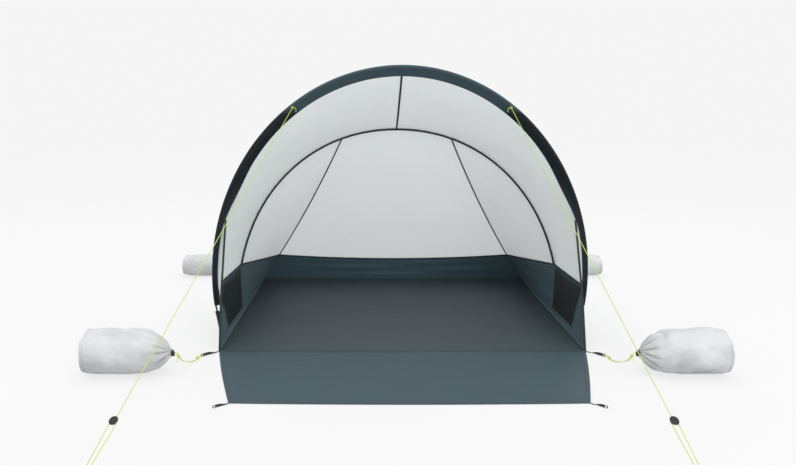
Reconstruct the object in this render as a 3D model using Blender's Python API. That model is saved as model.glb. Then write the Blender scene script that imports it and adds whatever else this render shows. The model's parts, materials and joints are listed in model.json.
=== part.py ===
"""Beach shelter: an open-fronted fabric dome on two bent poles.

A dark groundsheet turns up into a low wall round three sides.  A light canopy is sewn to
the top of that wall and hangs from a tall front pole and a lower rear pole, each in a
fabric sleeve.  A flap of groundsheet lies in front of the doorway, two guy lines hold the
front arch forward, and a sand-filled bag lies tied to a strap at each floor corner.

Metres, +Z up.  The origin is at the middle of the floor, at ground level, and the open
front faces -Y.
"""
import math

import bmesh
import bpy
import numpy as np
from mathutils import Matrix, Vector

# Groundsheet and the flap in front of it
FLOOR_HALF_WIDTH = 0.905
FLOOR_HALF_DEPTH = 0.75
FLAP_LENGTH = 0.610
FLAP_FRONT_HALF_WIDTH = 0.734
FLAP_BOW = 0.012

# Every fabric panel is a closed sheet of one thickness, with a hairline gap at each seam
SHEET = 0.0025
SEAM_GAP = 0.0006
REST_GAP = 0.0003

# Front pole: centre line of the arch, standing nearly upright
FRONT_HALF_WIDTH = 0.998
FRONT_HEIGHT = 1.387
FRONT_WIDEST_AT = 0.248
FRONT_FOOT_HALF_WIDTH = 0.972
FRONT_ROUNDNESS = 2.00
FRONT_FOOT_Y = -0.389
FRONT_APEX_Y = -0.485

# Rear arch: the seam line of the canopy, leaning back
REAR_HALF_WIDTH = 0.916
REAR_HEIGHT = 1.064
REAR_WIDEST_AT = 0.15
REAR_FOOT_HALF_WIDTH = 0.924
REAR_ROUNDNESS = 2.08
REAR_FOOT_Y = -0.230
REAR_APEX_Y = 0.200

# Poles and sleeves
POLE_RADIUS = 0.00475
SLEEVE_RADIUS = 0.0075
SLEEVE_BORE = 0.0054
SLEEVE_TAIL_HALF = 0.00125
SLEEVE_REACH_TOP = 0.070
SLEEVE_REACH_LOW = 0.024
SLEEVE_WIDE_ABOVE = 0.95
SLEEVE_NARROW_BELOW = 0.55
SLEEVE_BACKWARD = 0.76
REAR_SLEEVE_REACH = 0.016
SLEEVE_END_HEIGHT = 0.135
SLEEVE_TAIL_FROM = 60
BORE_SIDES = 10
POCKET_HEIGHT = 0.100
POCKET_HALF = (0.009, 0.016)
POCKET_CORNER = 0.004
POCKET_BORE = 0.0060
POCKET_FLOOR = 0.004
POCKET_WEB_END = 0.012
POCKET_WEB_UNDER = 0.004

# Seams that divide the canopy
BAND_TOP_FRONT = 0.250
BAND_TOP_REAR_ARCH = 0.295
WING_TOP = 0.612
HEM_POINT = (0.915, -0.634, 0.235)
CORNER_PEAK = (0.793, 0.680, 0.186)
REAR_BAND_DIP = 0.030
REAR_BAND_BOW = 0.014
PANEL_SEAM_X = 0.330
PANEL_SEAM_BOW = 0.018
RIDGE_SAG = 0.010
ROOF_SAG = 0.014
REAR_SAG = 0.012
WING_BLUNT = 0.3
REAR_SIDE_BLUNT = 0.2

# Storage pockets of netting on the side walls
NET_BULGE = 0.035
NET_SHEET = 0.0018
NET_LOW = 0.16
NET_HIGH = 0.95
NET_END = 0.25
NET_FIRST = 3
NET_CLEARANCE = 0.0016

# Guy lines, sliders and pegs
GUY_RADIUS = 0.0015
GUY_TAB_X = 0.550
GUY_TAB_SIZE = (0.020, 0.0025, 0.022)
GUY_TAB_OFF_SLEEVE = 0.0007
GUY_TAB_TO_CORD = 0.0012
GUY_PEG_SPOTS = {"left": (-1.069, -2.060), "right": (0.883, -2.060)}
GUY_SLIDER_AT = 0.872
SLIDER_RADIUS = 0.016
SLIDER_THICKNESS = 0.006
SLIDER_STRAND_HALF = 0.012
SLIDER_HOLE_HALF = 0.0096
PEG_RADIUS = 0.003
PEG_HEIGHT = 0.030
PEG_HOOK = 0.010
GUY_LOOP_HEIGHT = 0.012

# Straps and bags at the floor corners
STRAP_HEIGHT = 0.015
STRAP_THICKNESS = 0.0025
STRAP_REACH = (0.070, 0.075)
STRAP_HOLE = 0.0042
STRAP_HOLE_BACK = 0.009
STRAP_ROOT = {"front": 0.0010, "rear": 0.0016}
STRAP_BEARING = 0.0020
LOOP_REACH = (0.054, 0.046)
LOOP_HEIGHT = 0.012
LOOP_HOLE_BACK = 0.008
CORD_RADIUS = 0.0015
CORD_PAIR_HALF = 0.0035
CORD_LOCK_HALF = 0.0020
CORD_LEAVES_LOCK = (0.006, 0.0005)
CORD_DROPS_AT = 0.018
CORD_DROP = 0.20
CORD_LANDS_FROM = (0.022, 0.0016)
CORD_OFF_GROUND = 0.0010
CORD_LANDS_AT = (0.34, 0.62, 0.80)
CORD_PAIR_OPENS = 1.3
CORD_ROUND_STRAP = (0.012, 0.002)
LOCK_RADIUS = 0.0080
LOCK_LENGTH = 0.028

COLLECTION = "beach_shelter"


def new_collection(name):
    collection = bpy.data.collections.new(name)
    bpy.context.scene.collection.children.link(collection)
    return collection


def material(name, colour, roughness, metallic=0.0):
    found = bpy.data.materials.get(name)
    if found:
        return found
    made = bpy.data.materials.new(name)
    made.use_nodes = True
    shader = made.node_tree.nodes["Principled BSDF"]
    shader.inputs["Base Color"].default_value = (*colour, 1.0)
    shader.inputs["Roughness"].default_value = roughness
    shader.inputs["Metallic"].default_value = metallic
    return made


def canopy_cloth():
    return material("canopy_cloth", (0.62, 0.66, 0.67), 0.55)


def ground_cloth():
    return material("ground_cloth", (0.07, 0.11, 0.13), 0.6)


def sleeve_cloth():
    return material("sleeve_cloth", (0.03, 0.045, 0.055), 0.65)


def netting():
    return material("netting", (0.02, 0.022, 0.025), 0.8)


def pole_glassfibre():
    return material("pole_glassfibre", (0.03, 0.03, 0.035), 0.4)


def webbing():
    return material("webbing", (0.012, 0.012, 0.014), 0.75)


def lime_cord():
    return material("lime_cord", (0.62, 0.75, 0.12), 0.6)


def black_plastic():
    return material("black_plastic", (0.015, 0.015, 0.017), 0.4)


def peg_steel():
    return material("peg_steel", (0.6, 0.6, 0.62), 0.35, 1.0)


def bag_cloth():
    return material("bag_cloth", (0.66, 0.69, 0.69), 0.7)


def unit(vector):
    vector = np.asarray(vector, dtype=float)
    return vector / np.linalg.norm(vector)


def across(vector, axis):
    """The part of a vector that is square to an axis, made one long."""
    axis = unit(axis)
    return unit(vector - np.dot(vector, axis) * axis)


def mirrored(points):
    flipped = np.array(points, dtype=float)
    flipped[..., 0] *= -1
    return flipped


def smooth_step(value, low, high):
    share = min(max((value - low) / (high - low), 0.0), 1.0)
    return share * share * (3 - 2 * share)


def mix(a, b, share):
    return (1 - share) * np.asarray(a, dtype=float) + share * np.asarray(b, dtype=float)


def line(start, end, segments):
    shares = np.linspace(0, 1, segments + 1)[:, None]
    return (1 - shares) * np.asarray(start, dtype=float) + shares * np.asarray(end, dtype=float)


def add_mesh(name, vertices, faces, make_material, smooth=True):
    """One closed body in the shelter's collection, with its faces pointing out."""
    mesh = bpy.data.meshes.new(name)
    mesh.from_pydata([tuple(v) for v in vertices], [], faces)
    shape = bmesh.new()
    shape.from_mesh(mesh)
    bmesh.ops.recalc_face_normals(shape, faces=shape.faces)
    shape.to_mesh(mesh)
    shape.free()
    if smooth:
        mesh.shade_smooth()
        mesh.set_sharp_from_angle(angle=math.radians(40))
    mesh.materials.append(make_material())
    built = bpy.data.objects.new(name, mesh)
    bpy.data.collections[COLLECTION].objects.link(built)
    return built


def add_tube(name, points, radius, make_material, sides=2):
    """A cord or pole as a curve with a round bevel and filled ends."""
    curve = bpy.data.curves.new(name, "CURVE")
    curve.dimensions = "3D"
    curve.bevel_depth = radius
    curve.bevel_resolution = sides
    curve.use_fill_caps = True
    spline = curve.splines.new("POLY")
    spline.points.add(len(points) - 1)
    for place, point in zip(spline.points, points):
        place.co = (*point, 1.0)
    curve.materials.append(make_material())
    built = bpy.data.objects.new(name, curve)
    bpy.data.collections[COLLECTION].objects.link(built)
    return built


class Arch:
    """The right-hand half of a bent pole's line, from its apex down to its foot.

    Above its widest height it is a quarter of a superellipse, and below that it tucks in
    to the foot.  It leans along Y in proportion to height.
    """

    def __init__(self, half_width, height, widest_at, foot_half_width, roundness, foot_y, apex_y):
        power = 2 / roundness
        angle = np.linspace(math.pi / 2, 0, 90)
        drop = np.linspace(0, 1, 16)[1:]
        x = np.concatenate([
            half_width * np.abs(np.cos(angle)) ** power,
            half_width + (foot_half_width - half_width) * drop ** 2,
        ])
        z = np.concatenate([
            widest_at + (height - widest_at) * np.sin(angle) ** power,
            widest_at * (1 - drop),
        ])
        x[0] = 0.0
        y = foot_y + (apex_y - foot_y) * z / height
        self.points = np.stack([x, y, z], axis=1)
        steps = np.linalg.norm(np.diff(self.points, axis=0), axis=1)
        self.lengths = np.concatenate([[0.0], np.cumsum(steps)])
        self.plane = unit((0.0, height, foot_y - apex_y))

    def at(self, length):
        return np.array([np.interp(length, self.lengths, self.points[:, k]) for k in range(3)])

    def length_at_height(self, z):
        return float(np.interp(-z, -self.points[:, 2], self.lengths))

    def length_at_width(self, x):
        upper = self.points[:90]
        return float(np.interp(x, upper[:, 0], self.lengths[:90]))

    def along(self, length, step=0.01):
        """Direction down the arch; at the apex it points straight to +X."""
        if length < step:
            return np.array([1.0, 0.0, 0.0])
        return unit(self.at(length + step) - self.at(length - step))

    def outward(self, length):
        return unit(np.cross(self.along(length), self.plane))


def front_arch():
    return Arch(FRONT_HALF_WIDTH, FRONT_HEIGHT, FRONT_WIDEST_AT, FRONT_FOOT_HALF_WIDTH,
                FRONT_ROUNDNESS, FRONT_FOOT_Y, FRONT_APEX_Y)


def rear_arch():
    return Arch(REAR_HALF_WIDTH, REAR_HEIGHT, REAR_WIDEST_AT, REAR_FOOT_HALF_WIDTH,
                REAR_ROUNDNESS, REAR_FOOT_Y, REAR_APEX_Y)


# Rows of the canopy from the ridge down: to the rear panel's seam, the wing's top, the wall
ROWS_TO_SEAM = 4
ROWS_TO_WING = 8
ROWS_TO_WALL = 4
ROWS = ROWS_TO_SEAM + ROWS_TO_WING + ROWS_TO_WALL
ROOF_COLUMNS = 4
WING_COLUMNS = 4
REAR_SIDE_COLUMNS = 8
WALL_ROWS = 3


def row_shares(front, rear):
    """Shares of the way down both arches, with rows exactly at the two seams."""
    front_end = front.length_at_height(BAND_TOP_FRONT)
    rear_end = rear.length_at_height(BAND_TOP_REAR_ARCH)
    seam = rear.length_at_width(PANEL_SEAM_X) / rear_end
    wing = front.length_at_height(WING_TOP) / front_end
    return np.concatenate([
        np.linspace(0, seam, ROWS_TO_SEAM + 1),
        np.linspace(seam, wing, ROWS_TO_WING + 1)[1:],
        np.linspace(wing, 1, ROWS_TO_WALL + 1)[1:],
    ])


class Station:
    """One cross-section of a pole and its sleeve: where the pole is and where its seam is."""

    def __init__(self, pole, seam, along, outward):
        self.pole = np.asarray(pole, dtype=float)
        self.seam = np.asarray(seam, dtype=float)
        self.toward = across(self.seam - self.pole, along)
        self.side = unit(np.cross(self.toward, along))
        self.reach = float(np.dot(self.seam - self.pole, self.toward))
        self.inward = -outward
        self.flat = unit(np.cross(self.inward, along))


def front_station(front, length, row_target):
    """The sleeve leans back along the roof at the top and runs straight inward low down."""
    pole = front.at(length)
    along = front.along(length)
    backward = across(np.asarray(row_target) - pole, along)
    inward = -front.outward(length)
    top = smooth_step(pole[2], SLEEVE_NARROW_BELOW, SLEEVE_WIDE_ABOVE)
    toward = across(mix(inward, backward, SLEEVE_BACKWARD * top), along)
    if length == 0:
        toward[0] = 0.0
        toward = unit(toward)
    reach = SLEEVE_REACH_LOW + (SLEEVE_REACH_TOP - SLEEVE_REACH_LOW) * top
    return Station(pole, pole + reach * toward, along, front.outward(length))


def rear_station(rear, length):
    """The rear pole lies outside its seam."""
    seam = rear.at(length)
    outward = rear.outward(length)
    return Station(seam + REAR_SLEEVE_REACH * outward, seam, rear.along(length), outward)


def low_lengths(arch, wall_height):
    """Lengths below the top of the wall, down to the sleeve's end."""
    start = arch.length_at_height(wall_height)
    end = arch.length_at_height(SLEEVE_END_HEIGHT)
    return np.linspace(start, end, 3)[1:]


def arch_stations(front, rear, shares):
    """Stations at every canopy row, then down to the ends of the sleeves."""
    front_end = front.length_at_height(BAND_TOP_FRONT)
    rear_end = rear.length_at_height(BAND_TOP_REAR_ARCH)
    fronts = [front_station(front, s * front_end, rear.at(s * rear_end)) for s in shares]
    rears = [rear_station(rear, s * rear_end) for s in shares]
    for length in low_lengths(front, BAND_TOP_FRONT):
        fronts.append(front_station(front, length, front.at(length) + np.array([0.0, 1.0, 0.0])))
    for length in low_lengths(rear, BAND_TOP_REAR_ARCH):
        rears.append(rear_station(rear, length))
    return fronts, rears


# Panels


def edge_at(edge, share):
    """A point at a share of an edge's count of steps, straight between its points."""
    place = share * (len(edge) - 1)
    low = min(int(place), len(edge) - 2)
    return mix(edge[low], edge[low + 1], place - low)


def coons(top, bottom, left, right, across_shares, down_shares):
    """A grid between four edges: top and bottom run left to right, the others top down."""
    grid = np.zeros((len(down_shares), len(across_shares), 3))
    corners = (top[0], top[-1], bottom[0], bottom[-1])
    for j, v in enumerate(down_shares):
        for i, u in enumerate(across_shares):
            rows = mix(edge_at(top, u), edge_at(bottom, u), v)
            columns = mix(edge_at(left, v), edge_at(right, v), u)
            flat = mix(mix(corners[0], corners[1], u), mix(corners[2], corners[3], u), v)
            grid[j, i] = rows + columns - flat
    return grid


def grid_normals(grid):
    """Unit normals of a grid of points, from its neighbours' directions."""
    downward = np.gradient(grid, axis=0)
    sideways = np.gradient(grid, axis=1)
    normals = np.cross(downward, sideways)
    if np.linalg.norm(sideways[0]) < 1e-6:
        normals[0] = normals[1]
    return normals / np.linalg.norm(normals, axis=2)[..., None]


class Panel:
    """A sheet of cloth between seams, kept as a grid until all the panels are known."""

    def __init__(self, name, grid, make_material, sag, outward, sheet=SHEET, blunt=0.0):
        self.name = name
        self.make_material = make_material
        self.sheet = sheet
        self.blunt = blunt
        normals = grid_normals(grid)
        middle = normals[grid.shape[0] // 2, grid.shape[1] // 2]
        if np.dot(middle, outward) < 0:
            normals = -normals
        down = np.linspace(0, 1, grid.shape[0])[:, None, None]
        over = np.linspace(0, 1, grid.shape[1])[None, :, None]
        self.grid = grid - normals * sag * 16 * down * (1 - down) * over * (1 - over)
        self.normals = grid_normals(self.grid)
        if np.dot(self.normals[grid.shape[0] // 2, grid.shape[1] // 2], outward) < 0:
            self.normals = -self.normals


def place_key(point):
    return tuple(np.round(point, 5))


def share_normals(panels):
    """At a seam every panel's thickness points the same way, so that they meet in a mitre."""
    sums = {}
    for panel in panels:
        for point, normal in zip(panel.grid.reshape(-1, 3), panel.normals.reshape(-1, 3)):
            key = place_key(point)
            sums[key] = sums.get(key, 0) + normal
    for panel in panels:
        flat = panel.normals.reshape(-1, 3)
        for k, point in enumerate(panel.grid.reshape(-1, 3)):
            total = np.array(sums[place_key(point)])
            if point[2] < 1e-6:
                total[2] = 0.0
            flat[k] = unit(total)
        panel.normals = flat.reshape(panel.grid.shape)


def drawn_in(grid, gap):
    """The grid with its four edges drawn in by half a seam's gap."""
    pulled = grid.copy()
    for edge, inner in ((0, 1), (-1, -2)):
        step = grid[inner] - grid[edge]
        pulled[edge] += step / np.linalg.norm(step, axis=1)[:, None] * gap / 2
        step = grid[:, inner] - grid[:, edge]
        pulled[:, edge] += step / np.linalg.norm(step, axis=1)[:, None] * gap / 2
    if grid[-1, :, 2].max() < 1e-6:
        pulled[-1, :, 2] = 0.0
    return pulled


def split_quad(points, a, b, c, d):
    """Two triangles along a quad's shorter diagonal, so that both faces fold alike."""
    if np.linalg.norm(points[a] - points[c]) <= np.linalg.norm(points[b] - points[d]):
        return (a, b, c), (a, c, d)
    return (a, b, d), (b, c, d)


def build_panel(panel):
    """A closed sheet from a panel's grid; a pointed top is blunted to a short edge."""
    grid = panel.grid.copy()
    normals = panel.normals.copy()
    grid[0] = mix(grid[0], grid[1], panel.blunt)
    normals[0] = mix(normals[0], normals[1], panel.blunt)
    middle = drawn_in(grid, SEAM_GAP)
    rows, columns = middle.shape[:2]
    half = normals * panel.sheet / 2
    outer = (middle + half).reshape(-1, 3)
    inner = (middle - half).reshape(-1, 3)
    count = rows * columns
    faces = []
    for j in range(rows - 1):
        for i in range(columns - 1):
            a = j * columns + i
            for triangle in split_quad(outer, a, a + 1, a + columns + 1, a + columns):
                faces.append(triangle)
                faces.append(tuple(k + count for k in reversed(triangle)))
    rim = [(0, i) for i in range(columns)]
    rim += [(j, columns - 1) for j in range(1, rows)]
    rim += [(rows - 1, i) for i in range(columns - 2, -1, -1)]
    rim += [(j, 0) for j in range(rows - 2, 0, -1)]
    ring = [j * columns + i for j, i in rim]
    for k, a in enumerate(ring):
        b = ring[(k + 1) % len(ring)]
        faces.append((b, a, a + count, b + count))
    return add_mesh(panel.name, np.concatenate([outer, inner]), faces, panel.make_material)


class Seams:
    """The lines that the right-hand panels are sewn along."""

    def __init__(self, fronts, rears):
        self.front = np.array([s.seam for s in fronts[:ROWS + 1]])
        self.rear = np.array([s.seam for s in rears[:ROWS + 1]])
        self.ridge = line(self.front[0], self.rear[0], ROOF_COLUMNS)
        share = np.linspace(0, 1, ROOF_COLUMNS + 1)
        self.ridge[:, 2] -= RIDGE_SAG * 4 * share * (1 - share)
        hem_point = np.array(HEM_POINT)
        peak = np.array(CORNER_PEAK)
        front_corner = (FLOOR_HALF_WIDTH, -FLOOR_HALF_DEPTH, 0.0)
        rear_corner = (FLOOR_HALF_WIDTH, FLOOR_HALF_DEPTH, 0.0)
        wing_row = ROWS_TO_SEAM + ROWS_TO_WING
        self.hem = line(self.front[wing_row], hem_point, ROWS_TO_WALL)
        self.low_hem = line(hem_point, front_corner, WALL_ROWS)
        self.wing_foot = line(hem_point, self.front[ROWS], WING_COLUMNS)
        self.roof_foot = line(self.front[ROWS], self.rear[ROWS], ROOF_COLUMNS)
        self.rear_side_foot = line(self.rear[ROWS], peak, REAR_SIDE_COLUMNS)
        self.corner = line(peak, rear_corner, WALL_ROWS)
        self.panel_seam = line(self.rear[ROWS_TO_SEAM], peak, ROWS - ROWS_TO_SEAM)
        down = np.linspace(0, 1, ROWS - ROWS_TO_SEAM + 1)
        self.panel_seam[:, 0] -= PANEL_SEAM_BOW * 4 * down * (1 - down)
        self.wall_top = np.concatenate([self.wing_foot, self.roof_foot[1:], self.rear_side_foot[1:]])
        self.floor_edge = np.concatenate([
            line(front_corner, (FLOOR_HALF_WIDTH, self.front[ROWS][1], 0.0), WING_COLUMNS),
            line((FLOOR_HALF_WIDTH, self.front[ROWS][1], 0.0),
                 (FLOOR_HALF_WIDTH, self.rear[ROWS][1], 0.0), ROOF_COLUMNS)[1:],
            line((FLOOR_HALF_WIDTH, self.rear[ROWS][1], 0.0), rear_corner,
                 REAR_SIDE_COLUMNS)[1:],
        ])
        columns = 2 * ROWS_TO_SEAM
        share = np.linspace(0, 1, columns + 1)
        self.rear_top = line(mirrored(peak), peak, columns)
        self.rear_top[:, 2] -= REAR_BAND_DIP * 4 * share * (1 - share)
        self.rear_top[:, 1] += REAR_BAND_BOW * 4 * share * (1 - share)
        self.rear_floor = line(mirrored(np.array(rear_corner)), rear_corner, columns)
        upper = self.rear[:ROWS_TO_SEAM + 1]
        self.rear_crown = np.concatenate([mirrored(upper[::-1]), upper[1:]])


def right_panels(seams):
    """The right-hand panels: name, grid, cloth, sag, outward direction and blunted tip."""
    wing_row = ROWS_TO_SEAM + ROWS_TO_WING
    roof_over = np.linspace(0, 1, ROOF_COLUMNS + 1)
    roof_down = np.linspace(0, 1, ROWS + 1)
    roof = coons(seams.ridge, seams.roof_foot, seams.front, seams.rear, roof_over, roof_down)

    wing_tip = np.repeat(seams.hem[:1], 2, axis=0)
    wing = coons(wing_tip, seams.wing_foot, seams.hem, seams.front[wing_row:],
                 np.linspace(0, 1, WING_COLUMNS + 1), np.linspace(0, 1, ROWS_TO_WALL + 1))

    side_tip = np.repeat(seams.panel_seam[:1], 2, axis=0)
    rear_side = coons(side_tip, seams.rear_side_foot, seams.rear[ROWS_TO_SEAM:],
                      seams.panel_seam, np.linspace(0, 1, REAR_SIDE_COLUMNS + 1),
                      np.linspace(0, 1, ROWS - ROWS_TO_SEAM + 1))

    wall_over = np.linspace(0, 1, len(seams.wall_top))
    wall = coons(seams.wall_top, seams.floor_edge, seams.low_hem, seams.corner, wall_over,
                 np.linspace(0, 1, WALL_ROWS + 1))
    rightward = np.array([1.0, 0.0, 0.2])
    backward = np.array([0.5, 1.0, 0.3])
    return [
        ("roof_panel", roof, canopy_cloth, ROOF_SAG, rightward, 0.0),
        ("side_wing", wing, canopy_cloth, 0.0, rightward, WING_BLUNT),
        ("rear_side_panel", rear_side, canopy_cloth, REAR_SAG, backward, REAR_SIDE_BLUNT),
        ("side_wall", wall, ground_cloth, 0.0, rightward, 0.0),
    ]


def middle_panels(seams):
    columns = 2 * ROWS_TO_SEAM
    over = np.linspace(0, 1, columns + 1)
    steps = ROWS - ROWS_TO_SEAM
    panel = coons(seams.rear_crown, seams.rear_top, mirrored(seams.panel_seam),
                  seams.panel_seam, over, np.linspace(0, 1, steps + 1))
    wall = coons(seams.rear_top, seams.rear_floor, mirrored(seams.corner), seams.corner, over,
                 np.linspace(0, 1, WALL_ROWS + 1))
    backward = np.array([0.0, 1.0, 0.3])
    return [
        Panel("rear_panel", panel, canopy_cloth, REAR_SAG, backward),
        Panel("rear_wall", wall, ground_cloth, 0.0, backward),
    ]


def all_panels(seams):
    panels = middle_panels(seams)
    for name, grid, cloth, sag, outward, blunt in right_panels(seams):
        panels.append(Panel(f"{name}_right", grid, cloth, sag, outward, blunt=blunt))
        flipped = mirrored(grid)[:, ::-1]
        panels.append(Panel(f"{name}_left", flipped, cloth, sag, mirrored(outward), blunt=blunt))
    share_normals(panels)
    return panels


def build_floor():
    """The groundsheet lies inside the foot of the walls, clear of where they lean in."""
    lean = (FLOOR_HALF_WIDTH - CORNER_PEAK[0]) / CORNER_PEAK[2]
    inset = SHEET * (0.5 + lean) + REST_GAP
    x = FLOOR_HALF_WIDTH - inset
    front = -FLOOR_HALF_DEPTH
    rear = FLOOR_HALF_DEPTH - inset
    outline = [(-x, front), (x, front), (x, rear), (-x, rear)]
    return add_plate("groundsheet_floor", outline, SHEET, ground_cloth)


def build_flap():
    """The flap narrows to its front edge, which bows out a little."""
    rear = -FLOOR_HALF_DEPTH - REST_GAP
    front = -FLOOR_HALF_DEPTH - FLAP_LENGTH
    wide = FLOOR_HALF_WIDTH - SHEET / 2
    narrow = FLAP_FRONT_HALF_WIDTH
    outline = [(wide, rear), (-wide, rear)]
    for share in np.linspace(-1, 1, 9):
        outline.append((share * narrow, front - FLAP_BOW * (1 - share * share)))
    return add_plate("front_flap", outline, SHEET, ground_cloth)


def add_plate(name, outline, thickness, make_material):
    """A flat piece lying on the ground: an outline in X and Y with a thickness."""
    count = len(outline)
    vertices = [(x, y, 0.0) for x, y in outline] + [(x, y, thickness) for x, y in outline]
    faces = [tuple(range(count)), tuple(range(2 * count - 1, count - 1, -1))]
    for k in range(count):
        following = (k + 1) % count
        faces.append((k, following, following + count, k + count))
    return add_mesh(name, vertices, faces, make_material, smooth=False)


# Poles and sleeves


def sleeve_ring(station):
    """Points round one section: as many on the outside as on the bore for the pole."""
    round_part = np.linspace(SLEEVE_TAIL_FROM, 360 - SLEEVE_TAIL_FROM, BORE_SIDES - 2)
    outer = [(SLEEVE_RADIUS * math.cos(a), SLEEVE_RADIUS * math.sin(a))
             for a in np.radians(round_part)]
    tail = station.reach - SHEET / 2 - REST_GAP
    outer += [(tail, -SLEEVE_TAIL_HALF), (tail, SLEEVE_TAIL_HALF)]
    points = [station.pole + a * station.toward + b * station.side for a, b in outer]
    for angle in 2 * math.pi * (np.arange(BORE_SIDES) + 1.5) / BORE_SIDES:
        points.append(station.pole + SLEEVE_BORE * (math.cos(angle) * station.inward
                                                    + math.sin(angle) * station.flat))
    return np.array(points)


def build_sleeve(name, stations, make_material):
    """A tube of cloth along the whole arch, open at both ends, with its tail at the seam."""
    right = [sleeve_ring(s) for s in stations]
    rings = right[::-1] + [mirrored(ring) for ring in right[1:]]
    size = len(rings[0])
    count = size // 2
    faces = []
    for k in range(len(rings) - 1):
        for start in (0, count):
            for i in range(count):
                a = k * size + start + i
                b = k * size + start + (i + 1) % count
                faces.append((a, b, b + size, a + size))
    for first in (0, (len(rings) - 1) * size):
        for i in range(count):
            a = first + i
            b = first + (i + 1) % count
            faces.append((a, b, b + count, a + count))
    return add_mesh(name, np.concatenate(rings), faces, make_material)


def pole_foot(stations, arch, outside):
    """Where a pole's centre line meets the floor of its pocket."""
    foot = arch.at(arch.lengths[-1])
    foot = foot + outside * arch.outward(arch.lengths[-1])
    end = stations[-1].pole
    slant = unit(end - foot)
    rim = POLE_RADIUS * math.hypot(slant[0], slant[1])
    share = (end[2] - POCKET_FLOOR - REST_GAP - rim) / (end[2] - foot[2])
    return end + (foot - end) * share


def build_pole(name, stations, foot):
    right = [s.pole for s in stations] + [foot]
    points = right[::-1] + [mirrored(p) for p in right[1:]]
    return add_tube(name, points, POLE_RADIUS, pole_glassfibre)


def rounded_box(half_x, half_y, corner):
    """Twelve points round a rectangle with cut corners."""
    points = []
    for sx, sy in ((1, 1), (-1, 1), (-1, -1), (1, -1)):
        pair = [(sx * half_x, sy * (half_y - corner)), (sx * (half_x - corner), sy * half_y)]
        cut = corner * (1 - math.sqrt(0.5))
        middle = (sx * (half_x - cut), sy * (half_y - cut))
        trio = [pair[0], middle, pair[1]]
        points += trio if sx * sy > 0 else trio[::-1]
    return points


def socket(centre_low, centre_high):
    """A webbing pocket round a pole's end: a leaning block with a blind bore."""
    outline = rounded_box(*POCKET_HALF, POCKET_CORNER)
    count = len(outline)
    bore = [(POCKET_BORE * math.cos(a), POCKET_BORE * math.sin(a))
            for a in 2 * math.pi * (np.arange(count) + 0.5) / count]

    def ring(shape, height):
        centre = mix(centre_low, centre_high, height / POCKET_HEIGHT)
        return [(centre[0] + x, centre[1] + y, height) for x, y in shape]

    vertices = ring(outline, 0.0) + ring(outline, POCKET_HEIGHT)
    vertices += ring(bore, POCKET_HEIGHT) + ring(bore, POCKET_FLOOR)
    faces = [tuple(range(count)), tuple(range(4 * count - 1, 3 * count - 1, -1))]
    for level in range(3):
        for k in range(count):
            a = level * count + k
            b = level * count + (k + 1) % count
            faces.append((a, b, b + count, a + count))
    return vertices, faces


def build_foot_webbing(side, sign, feet, seams):
    """Both pole pockets of one side, joined by webbing that is sewn to the floor's edge."""
    name = f"pole_pockets_{side}"
    pieces = []
    for low, high in feet:
        vertices, faces = socket(low, high)
        vertices = [(sign * x, y, z) for x, y, z in vertices]
        pieces.append(add_mesh(name + "_part", vertices, faces, webbing, smooth=False))
    lean = (seams.front[ROWS][0] - FLOOR_HALF_WIDTH) / BAND_TOP_FRONT
    inner = FLOOR_HALF_WIDTH + SHEET * (0.5 + lean) + REST_GAP
    front_low, rear_low = feet[0][0], feet[1][0]
    end = POCKET_WEB_END
    under = POCKET_WEB_UNDER
    outline = [
        (inner, rear_low[1] + end), (inner, front_low[1] - end),
        (front_low[0] + under, front_low[1] - end), (front_low[0] + under, front_low[1] + end),
        (rear_low[0] + under, rear_low[1] + end),
    ]
    outline = [(sign * x, y) for x, y in outline]
    strap = add_plate(name, outline, SHEET, webbing)
    for piece in pieces:
        join = strap.modifiers.new("join", "BOOLEAN")
        join.operation = "UNION"
        join.object = piece
        piece.hide_render = True
        piece.display_type = "WIRE"
        bpy.data.collections[COLLECTION].objects.unlink(piece)
        bpy.data.collections[COLLECTION + "_joined"].objects.link(piece)
    return strap


# Pockets of netting


def build_net(side, sign, seams):
    """A sheet of netting sewn to the side wall by its foot and ends, open along its top."""
    columns = WING_COLUMNS + ROOF_COLUMNS
    full = coons(seams.wall_top, seams.floor_edge, seams.low_hem, seams.corner,
                 np.linspace(0, 1, len(seams.wall_top)), np.linspace(0, 1, WALL_ROWS + 1))
    levels = np.concatenate([[1 - NET_HIGH], np.arange(1, WALL_ROWS) / WALL_ROWS, [1 - NET_LOW]])
    wall = np.array([[edge_at(full[:, i], v) for i in range(NET_FIRST, columns + 1)]
                     for v in levels])
    wall[:, 0] = mix(wall[:, 0], wall[:, 1], NET_END)
    wall[:, -1] = mix(wall[:, -1], wall[:, -2], NET_END)
    normals = grid_normals(wall)
    if normals[1, 1, 0] < 0:
        normals = -normals
    u = np.linspace(0, 1, columns - NET_FIRST + 1)[None, :]
    v = np.linspace(0, 1, len(levels))[:, None]
    bulge = NET_BULGE * np.sin(np.pi * u) * (1 - v ** 2)
    off = SHEET / 2 + NET_SHEET / 2 + NET_CLEARANCE + bulge
    grid = wall - normals * off[..., None]
    if sign < 0:
        grid = mirrored(grid)[:, ::-1]
    inward = np.array([-sign, 0.0, 0.0])
    return build_panel(Panel(f"net_pocket_{side}", grid, netting, 0.0, inward, sheet=NET_SHEET))


# Guy lines


def local_frame(origin, along, up):
    """A matrix whose X runs along a line and whose Z is as near as it can be to up."""
    x = unit(along)
    z = across(up, x)
    y = np.cross(z, x)
    columns = np.column_stack([x, y, z])
    frame = Matrix([[*columns[k], origin[k]] for k in range(3)] + [[0, 0, 0, 1]])
    return frame


def place_in(frame, x, y, z):
    return np.array(frame @ Vector((x, y, z)))


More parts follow.
